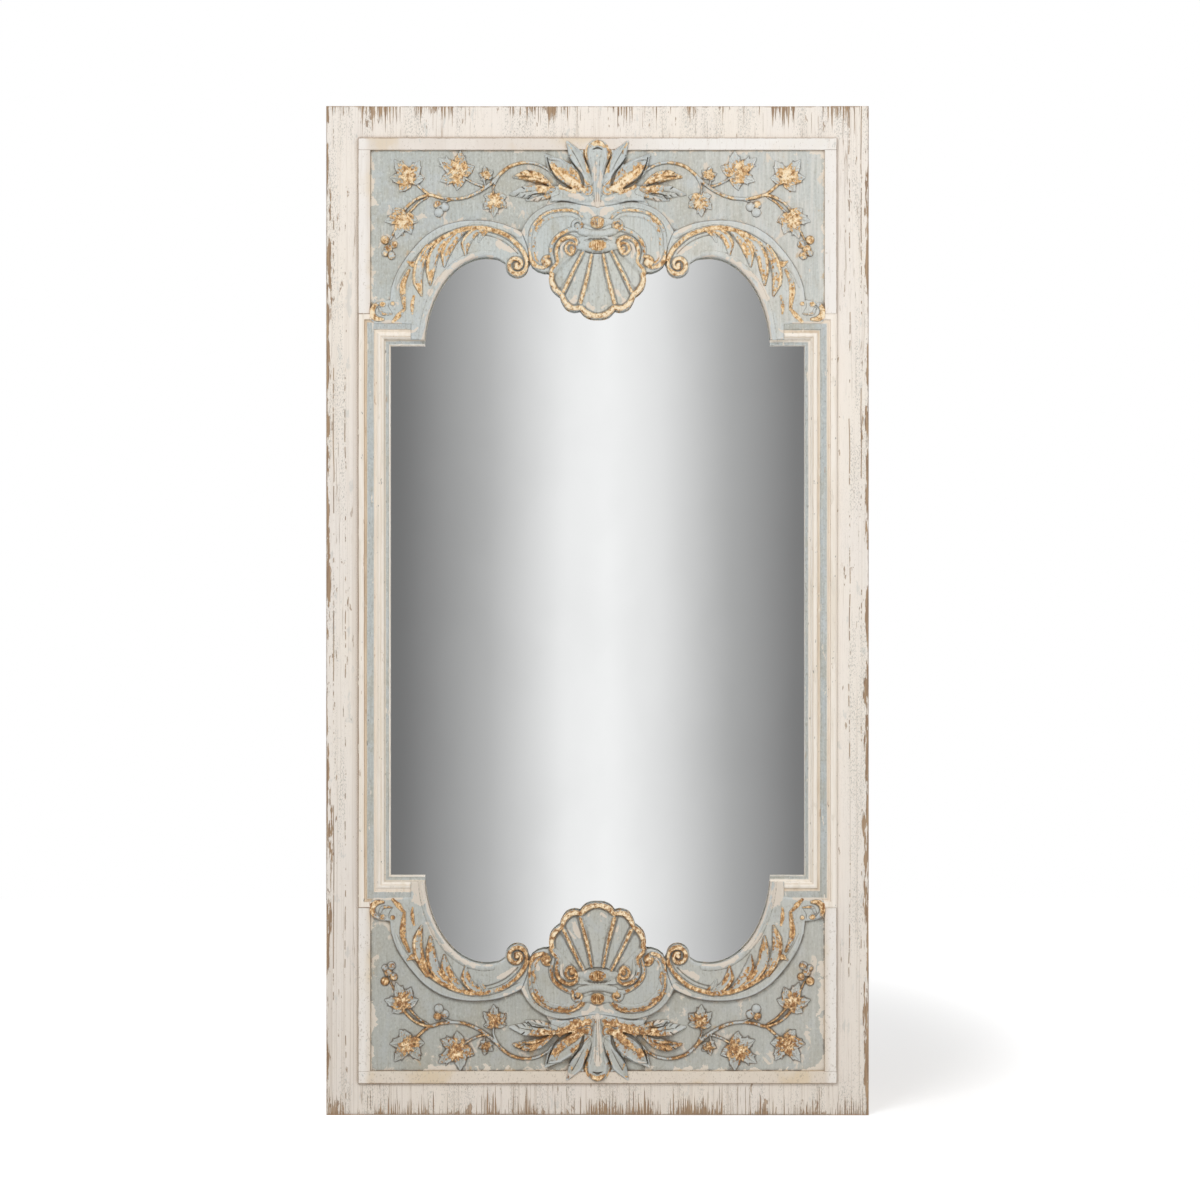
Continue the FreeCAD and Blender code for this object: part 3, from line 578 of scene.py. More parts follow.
class Carving:
    """A relief over a grid in millimetres: u outwards from the middle line, v inwards from the edge.

    Forms stand on the height base and widen the outline where solid is true, unless a call differs."""

    def __init__(self, u0, u1, v0, v1, base=0.0, solid=True, dark_rim=0.0):
        self.u = np.arange(u0, u1 + PITCH, PITCH)
        self.v = np.arange(v0, v1 + PITCH, PITCH)
        self.U, self.V = np.meshgrid(self.u, self.v)
        self.outside = np.full(self.U.shape, NOWHERE)
        # cut holds painted shade along the feet of forms and in cuts; dark_rim adds painted shade round
        # the outline
        self.height, self.gild, self.cut, self.rub, self.floor = (np.zeros(self.U.shape) for _ in range(5))
        self.base, self.solid, self.dark_rim = base, solid, dark_rim

    def window(self, points, reach):
        low, high = points.min(0) - reach, points.max(0) + reach
        rows = slice(np.searchsorted(self.v, low[1]), np.searchsorted(self.v, high[1]) + 1)
        cols = slice(np.searchsorted(self.u, low[0]), np.searchsorted(self.u, high[0]) + 1)
        return rows, cols

    def near(self, line, reach):
        """For the grid round a line: distance from it, place along it and side of it."""
        where = self.window(line, reach)
        pu, pv = self.U[where], self.V[where]
        best = np.full(pu.shape, 1e9)
        along, side = np.zeros(pu.shape), np.zeros(pu.shape)
        lengths = np.hypot(*np.diff(line, axis=0).T)
        total, done = lengths.sum(), 0.0
        for (au, av), (bu, bv), length in zip(line[:-1], line[1:], lengths):
            if length < 1e-9:
                continue
            du, dv = (bu - au) / length, (bv - av) / length
            t = np.clip((pu - au) * du + (pv - av) * dv, 0, length)
            ou, ov = pu - au - t * du, pv - av - t * dv
            d = np.hypot(ou, ov)
            closer = d < best
            best[closer] = d[closer]
            along[closer] = (done + t[closer]) / total
            side[closer] = np.sign(du * ov - dv * ou)[closer]
            done += length
        return where, best, along, side

    def lay(self, where, outside, height, gild, solid=True, line=0.0):
        """Adds a form where it is the highest, with a line of painted shade of that strength along its
        foot.
        """
        if solid:
            self.outside[where] = np.minimum(self.outside[where], outside)
        below = self.height[where]
        over = (outside < OVERLAP) & (height > below)
        foot = (outside < 1.6) & (outside >= 0.0) & (below < height.max() - 1.0) & ~over
        below[over] = height[over]
        self.gild[where][over] = np.broadcast_to(gild, height.shape)[over]
        self.cut[where][over] = 0.0
        shade = line * np.clip(1.2 - outside / 1.6, 0, 1)
        self.cut[where][foot] = np.maximum(self.cut[where], shade)[foot]

    def stroke(self, points, widths, rise, gild=0.0, form="round", line=0.75, gold_at="all",
               base=None, solid=None):
        """A carved form along a line; widths, rise and gild may change along it.

        Its gold covers all of it, keeps to its crest or lies along its edges; line is the strength of the
        painted shade along its foot."""
        where, d, along, side = self.near(smooth_line(points), max(widths) / 2 + 4)
        half, tall, gold = spread(widths, along) / 2, spread(rise, along), spread(gild, along)
        q = d / half
        if gold_at == "crest":
            gold = gold * np.clip(1.7 - 1.3 * q, 0, 1)
        elif gold_at == "edge":
            gold = gold * (0.2 + 0.8 * np.clip((q - 0.25) / 0.35, 0, 1)) * np.where(side < 0, 1.0, 0.62)
        height = (self.base if base is None else base) + tall * profile(form, q, side)
        self.lay(where, d - half, height, gold, self.solid if solid is None else solid, line)

    def plate(self, outline, height, edge):
        """A flat plate inside an outline, with a rounded edge."""
        outline = np.array(outline, float)
        where, d, _, _ = self.near(np.concatenate([outline, outline[:1]]), 8)
        pu, pv = self.U[where], self.V[where]
        inside = np.zeros(pu.shape, bool)
        for (au, av), (bu, bv) in zip(outline, np.roll(outline, -1, 0)):
            if av != bv:
                inside ^= ((av > pv) != (bv > pv)) & (pu < au + (pv - av) * (bu - au) / (bv - av))
        outside = np.where(inside, -d, d)
        round_edge = np.sqrt(np.clip(1 - np.clip(1 + outside / edge, 0, 1) ** 2, 0, 1))
        top = height * (0.55 + 0.45 * round_edge)
        self.lay(where, outside, np.where(outside < OVERLAP, top, 0), 0.0)
        return where, outside

    def dome(self, u, v, ru, rv, rise, gild, reeds=0, line=0.7):
        """A boss with a line of painted shade round its foot; reeds gives it that many upright ridges,
        with painted shade in the valleys between them.
        """
        where = self.window(np.array([[u - ru, v - rv], [u + ru, v + rv]]), 4)
        du, dv = (self.U[where] - u) / ru, (self.V[where] - v) / rv
        q = np.hypot(du, dv)
        height = self.base + rise * np.sqrt(np.clip(1 - q**2, 0, 1))
        if reeds:
            valley = np.abs(np.cos(du * reeds * math.pi / 2)) ** 3 * np.clip(1.5 - q, 0, 1)
            height = height - 2.2 * valley
        self.lay(where, (q - 1) * min(ru, rv), height, gild, self.solid, line)
        if reeds:
            self.cut[where] = np.maximum(self.cut[where], np.where(q < 0.95, 0.55 * valley**3, 0))

    def groove(self, points, widths, depth, dark=1.0):
        """A cut along a line, darkened with painted shade; without depth it is a line of painted shade
        alone.
        """
        where, d, along, _ = self.near(smooth_line(points), max(widths) / 2 + 3)
        half = spread(widths, along) / 2
        hollow = np.clip(1 - (d / half) ** 2, 0, 1)
        below = self.height[where]
        self.height[where] = np.maximum(below - depth * hollow, np.minimum(1.5, below))
        self.cut[where] = np.maximum(self.cut[where], dark * np.clip(1.25 - d / half, 0, 1))

    def rub_in(self, field, points, width, amount, core):
        where, d, _, _ = self.near(smooth_line(points), width)
        field[where] = np.maximum(field[where], np.clip(core - d / (width / 2), 0, 1) * amount)

    def paint(self, points, width, gild):
        """Gold rubbed along a line without a change of shape."""
        self.rub_in(self.gild, points, width, gild, 1.2)

    def rubbed(self, points, width, amount):
        """Paint worn to cream along a line."""
        self.rub_in(self.rub, points, width, amount, 1.3)

    def mirror(self):
        """Makes the half u >= 0 the other half too; the grid runs evenly both ways from u = 0."""
        for field in (self.outside, self.height, self.gild, self.cut, self.rub):
            half = field.shape[1] // 2
            field[:, :half] = field[:, : half : -1]

    def faces(self):
        """Grid cells inside the outline, without cells that touch only at a corner."""
        o = self.outside
        used = (o[:-1, :-1] + o[1:, :-1] + o[:-1, 1:] + o[1:, 1:]) < 0
        used[0], used[-1], used[:, 0], used[:, -1] = False, False, False, False
        for _ in range(4):
            a, b, c, d = used[:-1, :-1], used[:-1, 1:], used[1:, :-1], used[1:, 1:]
            cross = (a & d & ~b & ~c) | (b & c & ~a & ~d)
            if not cross.any():
                break
            for part in (a, b, c, d):
                part[cross] = True
        return used

    def surface(self):
        """Points, faces, rim edges and values of the relief's front."""
        rows, cols = self.U.shape
        index = np.arange(rows * cols).reshape(rows, cols)
        r, c = np.nonzero(self.faces())
        quads = np.stack([index[r, c], index[r, c + 1], index[r + 1, c + 1], index[r + 1, c]], 1)
        edges = np.concatenate([quads[:, [k, (k + 1) % 4]] for k in range(4)])
        key = np.sort(edges, 1)
        key = key[:, 0] * rows * cols + key[:, 1]
        _, first, count = np.unique(key, return_index=True, return_counts=True)
        rim = edges[first[count == 1]]
        # Points on the rim move onto the true outline
        u, v = self.U.ravel().copy(), self.V.ravel().copy()
        gv, gu = np.gradient(np.clip(self.outside, -6, 6), PITCH)
        gu, gv, o = gu.ravel(), gv.ravel(), self.outside.ravel()
        spots = np.unique(rim)
        size = np.maximum(np.hypot(gu[spots], gv[spots]), 0.3)
        move = np.clip(-o[spots] / size, -0.8 * PITCH, 0.8 * PITCH)
        u[spots] += move * gu[spots] / size
        v[spots] += move * gv[spots] / size
        floor = self.floor.ravel()
        h = np.maximum(self.height.ravel(), floor + 0.8)
        # cavity: painted shade with glazing in hollows, along cut lines and round the dark rim; ridge
        # marks raised parts for wear, gold and painted highlights
        smooth = blurred(self.height, 3)
        cavity = np.clip((smooth - self.height) / 3.0, 0, 1) + self.cut
        cavity += self.dark_rim * np.clip(1.15 + self.outside / 1.7, 0, 1)
        ridge = np.clip((self.height - smooth) / 2.0, 0, 1)
        names = np.unique(quads)
        new = np.full(rows * cols, -1)
        new[names] = np.arange(len(names))
        fields = {"gild": self.gild, "cavity": np.clip(cavity, 0, 1), "ridge": ridge, "rub": self.rub}
        values = {key: field.ravel()[names] for key, field in fields.items()}
        return u[names], v[names], h[names], floor[names], new[quads], new[rim], values


def carve(name, carving, across, up, replaced):
    """Makes a piece of a carving: across is -1 on the left and up is -1 at the foot, else both are 1."""
    u, v, h, floor, quads, rim, values = carving.surface()
    x = u * across / 1000
    z = TOP - v / 1000 if up > 0 else v / 1000
    count = len(u)
    front = np.stack([x, GROUND_Y - h / 1000, z], 1)
    spots = np.unique(rim)
    base = np.full(count, -1)
    base[spots] = count + np.arange(len(spots))
    back = np.stack([x[spots], GROUND_Y - floor[spots] / 1000, z[spots]], 1)
    walls = np.stack([rim[:, 1], rim[:, 0], base[rim[:, 0]], base[rim[:, 1]]], 1)
    faces = np.concatenate([quads, walls])
    if across * up > 0:
        faces = faces[:, ::-1]
    mesh = bpy.data.meshes.new(name)
    mesh.from_pydata(np.concatenate([front, back]).tolist(), [], faces.tolist())
    for key, value in values.items():
        layer = mesh.attributes.new(key, "FLOAT", "POINT")
        layer.data.foreach_set("value", np.concatenate([value, value[spots]]).astype(np.float32))
    made = bmesh.new()
    made.from_mesh(mesh)
    open_edges = [e for e in made.edges if e.is_boundary]
    bmesh.ops.triangle_fill(made, use_beauty=True, use_dissolve=False, edges=open_edges, normal=(0, 1, 0))
    bmesh.ops.recalc_face_normals(made, faces=made.faces)
    made.to_mesh(mesh)
    made.free()
    mesh.shade_smooth()
    mesh.set_sharp_from_angle(angle=math.radians(SHARP_DEGREES))
    mesh.materials.append(paint_carved)
    piece = bpy.data.objects.new(name, mesh)
    bpy.context.scene.collection.objects.link(piece)
    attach(piece, "frame")
    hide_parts(*replaced)


def arch_carving(at_foot):
    """An arch band with its gilt rib, volute, acanthus leaflets and the foot at the side.

    At the mirror's foot the band's end is worn to cream."""
    c = Carving(112, 412, 196, 420, 6.6, False)
    eye_u, eye_v, eye_reach = 144, 284, 20.5
    outer = [
        (369.8, 346.6), (367, 323), (359, 300), (347.5, 279), (329.6, 255.5), (310, 235), (281, 216),
        (246, 206), (210, 204), (174, 209), (149, 218), (136.5, 224),
    ]
    meeting = [(136.5, 224), (131, 236), (127, 247), (123, 262), (121.8, 277)]
    sight = []
    for k in range(15):
        angle = math.radians(4 + 92 * k / 14)
        sight.append((199.2 + 109.9 * math.cos(angle), 437.7 - 167.9 * math.sin(angle)))
    lower = [(308.6, 417)] + sight + [(178, 272), (166, 279)]
    volute = []
    for degrees in range(-10, 201, 15):
        angle = math.radians(degrees)
        volute.append((eye_u + eye_reach * math.cos(angle), eye_v + eye_reach * math.sin(angle)))
    foot = [
        (332.8, 417), (332.8, 390), (345, 389), (364, 389), (380, 389), (398, 389), (405, 380),
        (405.5, 364), (399, 352), (386, 348),
    ]
    c.plate(joined(outer) + joined(meeting)[1:] + volute[::-1] + joined(lower[::-1]) + foot, 7.0, 2.2)
    # The band's outer roll and the lip that follows the glass
    turns = np.linspace(0.05, 1.6, 15)
    roll = beside(outer[1:], -7, np.linspace(0.1, 1.9, 11))
    c.stroke(roll, [3, 11, 14, 15, 15, 15, 12], 2.6, 0.0, "flat", 0.4, base=6.4)
    c.stroke(beside(sight, 6.5, turns), [8, 10, 11, 11, 9], 2.4, line=0.5, base=6.8)
    # A line of painted shadow along the band's outer edge, with no cut
    c.groove(outer[1:], [3, 4.5, 5, 5, 5, 5, 5, 4], 0.0, 0.9)
    # Gilt rib and volute
    rib = [
        (315, 280), (303, 255), (281, 239), (255, 226), (228, 219), (208, 218), (187, 222),
        (163.5, 231), (145.6, 245), (131, 263), (125.5, 279),
    ]
    rib += spiral(eye_u, eye_v, 18.2, 5.5, -2, 1.3)[2:]
    wide, tall = [6, 8, 9, 10, 10, 10, 9.5, 9, 9, 9, 7.5], [4, 6, 6.5, 6.5, 6.5, 6.5, 6]
    c.stroke(rib, wide, tall, [0.8, 0.86, 0.86, 0.7, 0.82, 0.85, 0.95, 1.0], "round", 0.65, "crest")
    c.dome(eye_u, eye_v, 5, 5, 7, 0.95)
    inner = [
        (300, 268), (281, 250), (262, 239), (240, 231), (215, 229), (190, 233), (168, 242), (152, 254),
        (142, 264),
    ]
    c.groove(inner, [2, 3, 4, 4, 4, 3], 2.0, 0.35)
    # Acanthus leaflets that hang from the rib: line, widths, rise, gold and form
    for path, widths, rise, gold, form in (
        ([(208, 221), (224, 230), (234, 244), (235, 266)], [8, 15, 16, 3], 5.5,
         [0.75, 1.0, 0.95, 0.5], "scoop"),
        ([(240, 223), (259, 242), (270, 262), (273, 286)], [9, 17, 19, 3], 6.0,
         [0.8, 1.0, 0.9, 0.7], "scoop"),
        ([(263, 230), (280, 247), (292, 266), (297, 290), (298, 319)], [9, 15, 19, 16, 3], 6.5,
         [0.8, 0.95, 0.85, 0.9, 0.9], "scoop"),
        ([(317, 277), (328, 283), (338.6, 278)], [8, 10, 3], 5.0, [0.8, 0.7, 0.75], "blade"),
        ([(303, 252), (312, 270), (319, 291), (320, 313), (313.5, 338)], [9, 15, 17, 16, 3], 7.0,
         [0.8, 0.95, 0.95, 1.0, 0.95], "scoop"),
        ([(198, 222), (207, 231), (212, 243)], [7, 9, 2], 3.5, [0.7, 0.3, 0.1], "vein"),
        ([(336, 293), (346, 318), (344, 363)], [4, 10, 4], 4.5, [0.5, 0.85, 0.85], "roof"),
        ([(327, 339.5), (330, 355), (329.6, 370)], [3, 6, 3], 2.5, 0.75, "roof"),
        ([(345.7, 364.5), (354, 374), (364.5, 385)], [4, 8, 4], 3.5, [0.7, 0.85, 0.85], "roof"),
    ):
        c.stroke(path, widths, rise, gold, form, 0.95, "edge" if form == "scoop" else "all")
    for path, wide in (
        ([(216, 228), (228, 240), (233, 252)], 9), ([(250, 236), (262, 252), (268, 264)], 12),
        ([(272, 243), (284, 258)], 7), ([(296, 296), (297, 308)], 10),
        ([(320, 300), (320, 316), (316, 330)], 12), ([(308, 262), (314, 278)], 8),
    ):
        c.paint(path, wide, 0.74)
    # Worn paint along the lip and on the leaflets' ground
    c.rubbed(beside(sight, 2.0, turns), 5, 0.62)
    # A cream line on the lip's edge: worn paint, and a painted highlight
    c.rubbed(beside(sight[:8], 1.2, turns), 4.5, 1.0)
    # A line of painted shade beside the lip, with no cut
    c.groove(beside(sight[:9], 6.8, turns), [2.5, 3, 3, 2], 0.0, 0.5)
    c.rubbed([(262, 296), (280, 306), (292, 322), (303, 344)], 12, 0.75)
    c.rubbed([(222, 268), (240, 276), (256, 288)], 12, 0.6)
    c.rubbed([(148, 258), (162, 254), (176, 246)], 12, 0.9)
    c.rubbed([(138, 230), (150, 222), (165, 216)], 8, 0.7)
    c.rubbed([(398, 386), (372, 386), (350, 388)], 7, 0.8)
    c.rubbed([(332, 403), (326, 401), (321, 396)], 6, 0.85)
    if at_foot:
        c.rubbed([(321, 418), (321, 400), (318, 380)], 26, 0.85)
    # Foot: a C-curl with small scrolls over it
    c.base = 6.5
    curl = [(391, 353), (401, 362), (401, 373), (393, 380), (382, 381)]
    c.stroke(curl, [5, 11, 12, 10, 5], 4.8, [0.2, 0.8, 0.95, 0.9, 0.7])
    c.stroke([(388, 362), (384, 370), (376, 372), (366, 371)], [4, 5, 4, 2], 3, [0.2, 0.6, 0.6])
    c.dome(383, 354, 5.5, 4.5, 3.5, 0.7)
    c.dome(365, 353, 4, 4, 3, 0.75)
    c.groove([(371, 347), (372, 358), (366, 369)], [1, 2, 1], 1.5, 0.5)
    return c


def middle_carving(at_foot):
    """The cartouche with its paired C-scrolls, the reeded knot and oval, and the scallop shell.

    At the foot its scrolls carry more gold."""
    c = Carving(-140, 140, 168, 384, 7.6, False)
    top = [
        (136, 224), (129.5, 211), (119, 196.5), (103, 184), (85, 176), (63, 172), (40, 175), (13, 179),
        (0, 180),
    ]
    meeting = [(121.3, 277), (122.5, 262), (126.5, 247), (130.5, 236), (136, 224)]
    bottom = [
        (0, 318), (80, 318), (84.5, 302), (88, 297), (96, 297), (108, 293), (117, 286), (121.3, 277),
    ]
    c.plate(bottom + joined(meeting)[1:] + joined(top)[1:] + [(-8, 180), (-8, 318)], 8.0, 2.2)
    c.stroke(top[:-2], [10, 12, 12, 11, 9, 6], 1.8, 0.02, line=0.2)
    # A line of painted shadow along the cartouche's upper edge, with no cut
    c.groove(top[:-2], [4, 5, 5, 5, 5, 4], 0.0, 0.85)
    # Great C-scroll and its lower curl
    scroll = [
        (25, 202), (35, 192), (49, 187), (67, 187), (87, 191), (103, 201), (115, 216), (120, 234),
        (120.5, 250), (121, 264), (117, 277), (108, 286), (97, 289),
    ]
    turns = np.linspace(0.3, 2.2, len(scroll))
    inner = [(u - 5 * math.sin(t), v + 5 * math.cos(t)) for (u, v), t in zip(scroll, turns)]
    gold = [0.3, 0.5, 0.4, 0.3, 0.35, 0.6, 0.5, 0.3, 0.25, 0.25, 0.6, 0.9, 0.9]
    wide = [8, 12, 14, 15, 15, 15, 15, 14, 12, 10, 10, 10, 8]
    c.stroke(inner, wide, 3.4, gold, "scoop", 0.6, "edge", 7.4)
    gold = [0.35, 0.7, 0.8, 0.8, 0.5, 0.6, 0.55, 0.4, 0.3, 0.25, 0.65, 0.9, 0.95]
    c.stroke(scroll, [4, 5, 6, 6, 6, 6, 6, 6, 6, 6, 8, 9, 7], 4.6, gold, gold_at="crest")
    c.stroke(spiral(89.5, 279, 10, 5, -70, -0.7, 12), [6, 6, 5], 4.5, 0.85)
    c.dome(89.5, 279, 7, 7, 6.5, 0.95)
    c.paint([(98, 203), (107, 213), (110, 224)], 11, 0.72)
    c.paint([(113, 236), (112, 246), (115, 254)], 10, 0.6)
    if at_foot:
        c.paint([(28, 200), (37, 193), (50, 189), (68, 189), (88, 193), (104, 203), (114, 217)], 17, 0.78)
    c.rubbed([(106, 262), (110, 272), (104, 281)], 10, 0.8)
    c.rubbed([(6, 196), (14, 188), (26, 184)], 12, 0.85)
    c.rubbed([(132, 228), (127, 216)], 9, 0.6)
    # Upper C-volute beside the knot
    c.stroke(spiral(35, 213.5, 10, 4, 100, 1.2), [4, 6, 6, 5], 4.5, [0.25, 0.5, 0.75, 0.6])
    c.dome(35.5, 214, 4.5, 4.5, 6, 0.7)
    # Collar band round the shell
    collar = [
        (0, 228), (14, 226.5), (26, 223), (46, 221), (63, 228), (77, 241), (83, 259), (79.5, 272),
        (77, 283),
    ]
    gold = [0.05, 0.1, 0.4, 0.6, 0.62, 0.5, 0.4]
    c.stroke(collar, [9, 10, 8, 8, 8, 8, 7, 6], 3.8, gold, gold_at="crest")
    # Shell: flutes that widen from the hinge, ribs between them and a rolled rim
    c.base = 9.0
    rims = (
        [(84, 302), (85.5, 313), (82, 324), (75, 333), (67, 339)],
        [(67, 339), (62, 351), (54, 361), (43, 365), (31, 363)],
        [(31, 363), (21, 373), (10, 378), (0, 379)],
    )
    sides = [(0, 232), (50, 236), (66, 246), (70, 262), (69, 282), (79, 291)]
    where, shell = c.plate(sides + joined(*rims) + [(-8, 379), (-8, 232)], 9.0, 2.0)
    du, dv = c.U[where], c.V[where] - 222.0
    angle, r = np.degrees(np.arctan2(du, np.maximum(dv, 1))), np.hypot(du, dv)
    stops = np.array([-12.6, 12.6, 30.0, 46.0])
    slot = np.clip(np.searchsorted(stops, angle) - 1, 0, 2)
    middle, reach = (stops[slot] + stops[slot + 1]) / 2, (stops[slot + 1] - stops[slot]) / 2
    w = np.clip(np.abs(angle - middle) / reach, 0, 1)
    fan = np.clip((r - 40) / 100, 0, 1)
    bowl = 10.5 + 5.5 * fan - 3.5 * fan**2
    flute = bowl + (2.0 + 6.5 * fan) * (w**2.4 - 0.8)
    c.lay(where, np.where(shell < -0.5, -1.0, 9.0), flute, 0.04, False)
    # Painted shade in the flutes beside the ribs
    trough = np.clip(1 - np.abs(w - 0.72) / 0.24, 0, 1) * np.clip(1.25 - fan, 0, 1)
    c.cut[where] = np.maximum(c.cut[where], 0.46 * np.where(shell < -3, trough, 0))
    for line in ([(10.5, 266), (17, 300), (30, 352)], [(25, 260), (40, 289), (60, 331)]):
        c.stroke(line, [4.5, 6, 7], [2.6, 3.8, 4.0], [0.65, 0.95, 0.9], "round", 0.4, "crest", 13.4)
    c.rubbed([(35, 330), (42, 344), (48, 352)], 14, 0.8)
    c.rubbed([(60, 244), (64, 256), (62, 270)], 9, 0.7)
    c.rubbed([(8, 362), (16, 356)], 10, 0.6)
    for line in rims:
        pulled = [(u * 0.955, 268 + (v - 268) * 0.962) for u, v in line]
        c.stroke(pulled, [9, 11, 9], [7, 9, 7], [0.9, 1.06, 0.95], "round", 0.4, "crest", solid=True)
    # Ribs down the shell's shoulders that close in volutes
    shoulder = [
        (85, 306), (80, 291), (71.5, 281), (73, 263), (70, 248), (61, 238.5), (49, 235), (38.5, 240),
    ]
    shoulder += spiral(46, 254, 12.5, 5, 60, 1.15)[3:]
    gold = [0.9, 0.85, 0.55, 0.75, 0.85, 0.9, 0.85, 0.9]
    c.stroke(shoulder, [7, 8, 8, 8, 8, 8, 7, 6.5, 6], [6, 6.5, 7, 7, 7, 6], gold, "round", 0.8, "crest")
    c.dome(46, 254.5, 4.5, 4.5, 7.5, 0.85)
    c.groove([(64, 285), (62, 268), (60, 252), (50, 244)], [2, 3, 3, 2], 1.2, 0.25)
    # Bars across the middle and the reeded bosses
    c.stroke([(-4, 229), (16, 228), (32, 226)], [13, 11, 7], 3.6, 0.04, line=0.35, base=8.0)
    c.stroke([(-4, 250), (20, 251), (36, 252)], [23, 19, 9], [5.5, 5, 3.5], [0.3, 0.12, 0.05], line=0.3)
    c.dome(0, 249.5, 18.5, 10.5, 10.5, 0.84, 9, 0.35)
    c.base = 8.0
    c.stroke([(-4, 209), (14, 208), (26, 206)], [20, 15, 7], [4.5, 4, 2], [0.3, 0.12, 0.05], line=0.2)
    c.dome(0, 208.5, 14, 11, 11, 0.78, 7, 0.3)
    c.groove([(0, 264), (14, 263), (24, 259)], [2.5, 3, 1.5], 2.5, 0.5)
    c.groove([(0, 238), (14, 238), (24, 241)], [2, 2.5, 1.5], 2.0, 0.3)
    c.groove([(127, 238), (116, 250), (117, 262), (124, 277)], [0.5, 0.8, 0.8, 0.5], 0.5, 0.2)
    c.mirror()
    return c


def crest_carving(at_foot):
    """The acanthus crest: a plume that curls forward and lobes that sweep out to both sides.

    At the foot its bulbs are gilt and its great lobes are more worn."""
    c = Carving(-160, 160, 58, 186)
    # Body behind the lobes, and the smooth bulbs at their foot
    body = [
        (0, 181), (10, 180), (30, 176.5), (52, 171), (64, 170), (82, 171.5), (84, 158), (70, 142),
        (58, 128), (50, 112), (44, 97), (36, 82), (26, 79), (12, 78), (-8, 78), (-8, 181),
    ]
    c.plate(body, 9.0, 3.0)
    bulbs = [(15, 167), (34, 163.5), (54, 156), (72, 149), (90, 146)]
    c.stroke(bulbs, [18, 27, 22, 14, 5], [11, 13, 11, 9, 7], 0.06, line=0.6)
    # Outer lobes, back to front
    c.stroke([(64, 160), (76, 167), (88, 176)], [8, 14, 5], [7, 8, 5], [0.1, 0.2, 0.1], "scoop")
    c.rubbed([(80, 176), (98, 168), (116, 170)], 9, 0.7)
    for path, widths, rise, gold in (
        ([(72, 154), (90, 156), (107, 160), (127, 168)], [10, 20, 21, 4], [9, 11, 10, 6],
         [0.8, 0.55, 0.1, 0.05]),
        ([(80, 148), (106, 150), (132, 154), (156, 158)], [10, 19, 23, 4], [10, 12, 10, 6],
         [0.9, 0.75, 0.08, 0.05]),
        ([(84, 142), (104, 130), (124, 124), (150, 127)], [9, 21, 20, 4], [10, 12, 11, 7],
         [0.5, 0.62, 0.72, 0.6]),
    ):
        c.stroke(path, widths, rise, gold, "blade", 1.0)
    on_it = {"form": "roof", "solid": False}
    for u, v in ((112, 121), (126, 117), (137, 121), (133, 131)):
        path = [(92, 138), ((92 + u) / 2, 132 + (v - 134) * 0.35), (u, v)]
        c.stroke(path, [3, 5, 2], [3, 4, 2], [0.8, 0.95, 0.7], line=0.5, base=8.4, **on_it)
    for u, v in ((110, 146), (116, 152), (108, 157)):
        path = [(86, 148), (98, (149 + v) / 2), (u, v)]
        c.stroke(path, [3, 5, 2], [3, 4, 1.5], [0.85, 0.95, 0.6], line=0.45, base=8.6, **on_it)
    c.groove([(87, 143.5), (105, 139), (124, 140)], [2, 5.5, 1.5], 8, 1.0)
    c.groove([(96, 157), (112, 158), (124, 161)], [1.5, 3, 1], 5, 0.9)
    for rib in (
        [(94, 150), (114, 152), (140, 156)], [(86, 157), (104, 161), (120, 166)],
        [(98, 133), (118, 127), (140, 126)],
    ):
        c.groove(rib, [1.2, 2.4, 1.0], 2.0, 0.5)
    for tooth in (
        [(124, 166), (117, 160)], [(137, 166), (129, 159)], [(147, 162), (140, 157)],
        [(136, 144), (130, 149)], [(104, 170), (99, 164)], [(116, 172), (110, 166)],
        [(142, 117), (134, 122)], [(126, 113), (120, 119)],
    ):
        c.groove(tooth, [4.0, 1.2], 5.0, 0.75)
    # Second lobe: painted above, gold below, between two deep drop-shaped cuts
    lobe = [(18, 150), (42, 133), (62, 118), (77, 105), (92, 88)]
    c.stroke(lobe, [22, 30, 39, 32, 5], [12, 14, 15, 14, 10], [0.85, 0.75, 0.3, 0.08, 0.05], "scoop", 0.9)
    on_it = {"solid": False, "base": 8.0}
    lobe = [(24, 150), (46, 136), (62, 123), (76, 110)]
    c.stroke(lobe, [9, 14, 11, 3], [4, 5, 4, 1], [0.95, 1.05, 0.9, 0.3], line=0.1, **on_it)
    c.stroke([(66, 99), (76, 96), (86, 95)], [3, 4, 2], [2, 3, 1.5], 0.1, line=0.4, base=10.0, solid=False)
    lobe = [(60, 147), (40, 151), (22, 149)]
    c.stroke(lobe, [5, 12, 5], [3, 5.5, 5], [0.85, 0.95, 0.9], line=0.1, base=8.6, solid=False)
    # First lobe
    lobe = [(17, 136), (27, 112), (39, 89), (54, 65)]
    c.stroke(lobe, [18, 24, 26, 4], [13, 15, 15.5, 12], [0.2, 0.12, 0.05, 0.1], "scoop", 0.8)
    c.groove([(25, 118), (36, 96), (49, 74)], [1.2, 2.4, 1.0], 1.8, 0.42)
    c.groove([(58, 86), (49, 90)], [3.5, 1.2], 5.0, 0.7)
    c.paint([(24, 92), (20, 104), (17, 118)], 8, 0.8)
    c.paint([(53, 68), (45, 82), (48, 92)], 5, 0.6)
    drop = [(51, 92), (44, 103), (38, 111), (31, 121), (27, 132), (25, 141)]
    c.groove(drop, [1.4, 2.4, 3.4, 5.5, 7.5, 4.5], 11)
    drop = [(90, 92), (87, 104), (81, 119), (70, 133), (58, 142), (47, 148)]
    c.groove(drop, [1.6, 2.6, 3.6, 5, 8, 4.5], 10)
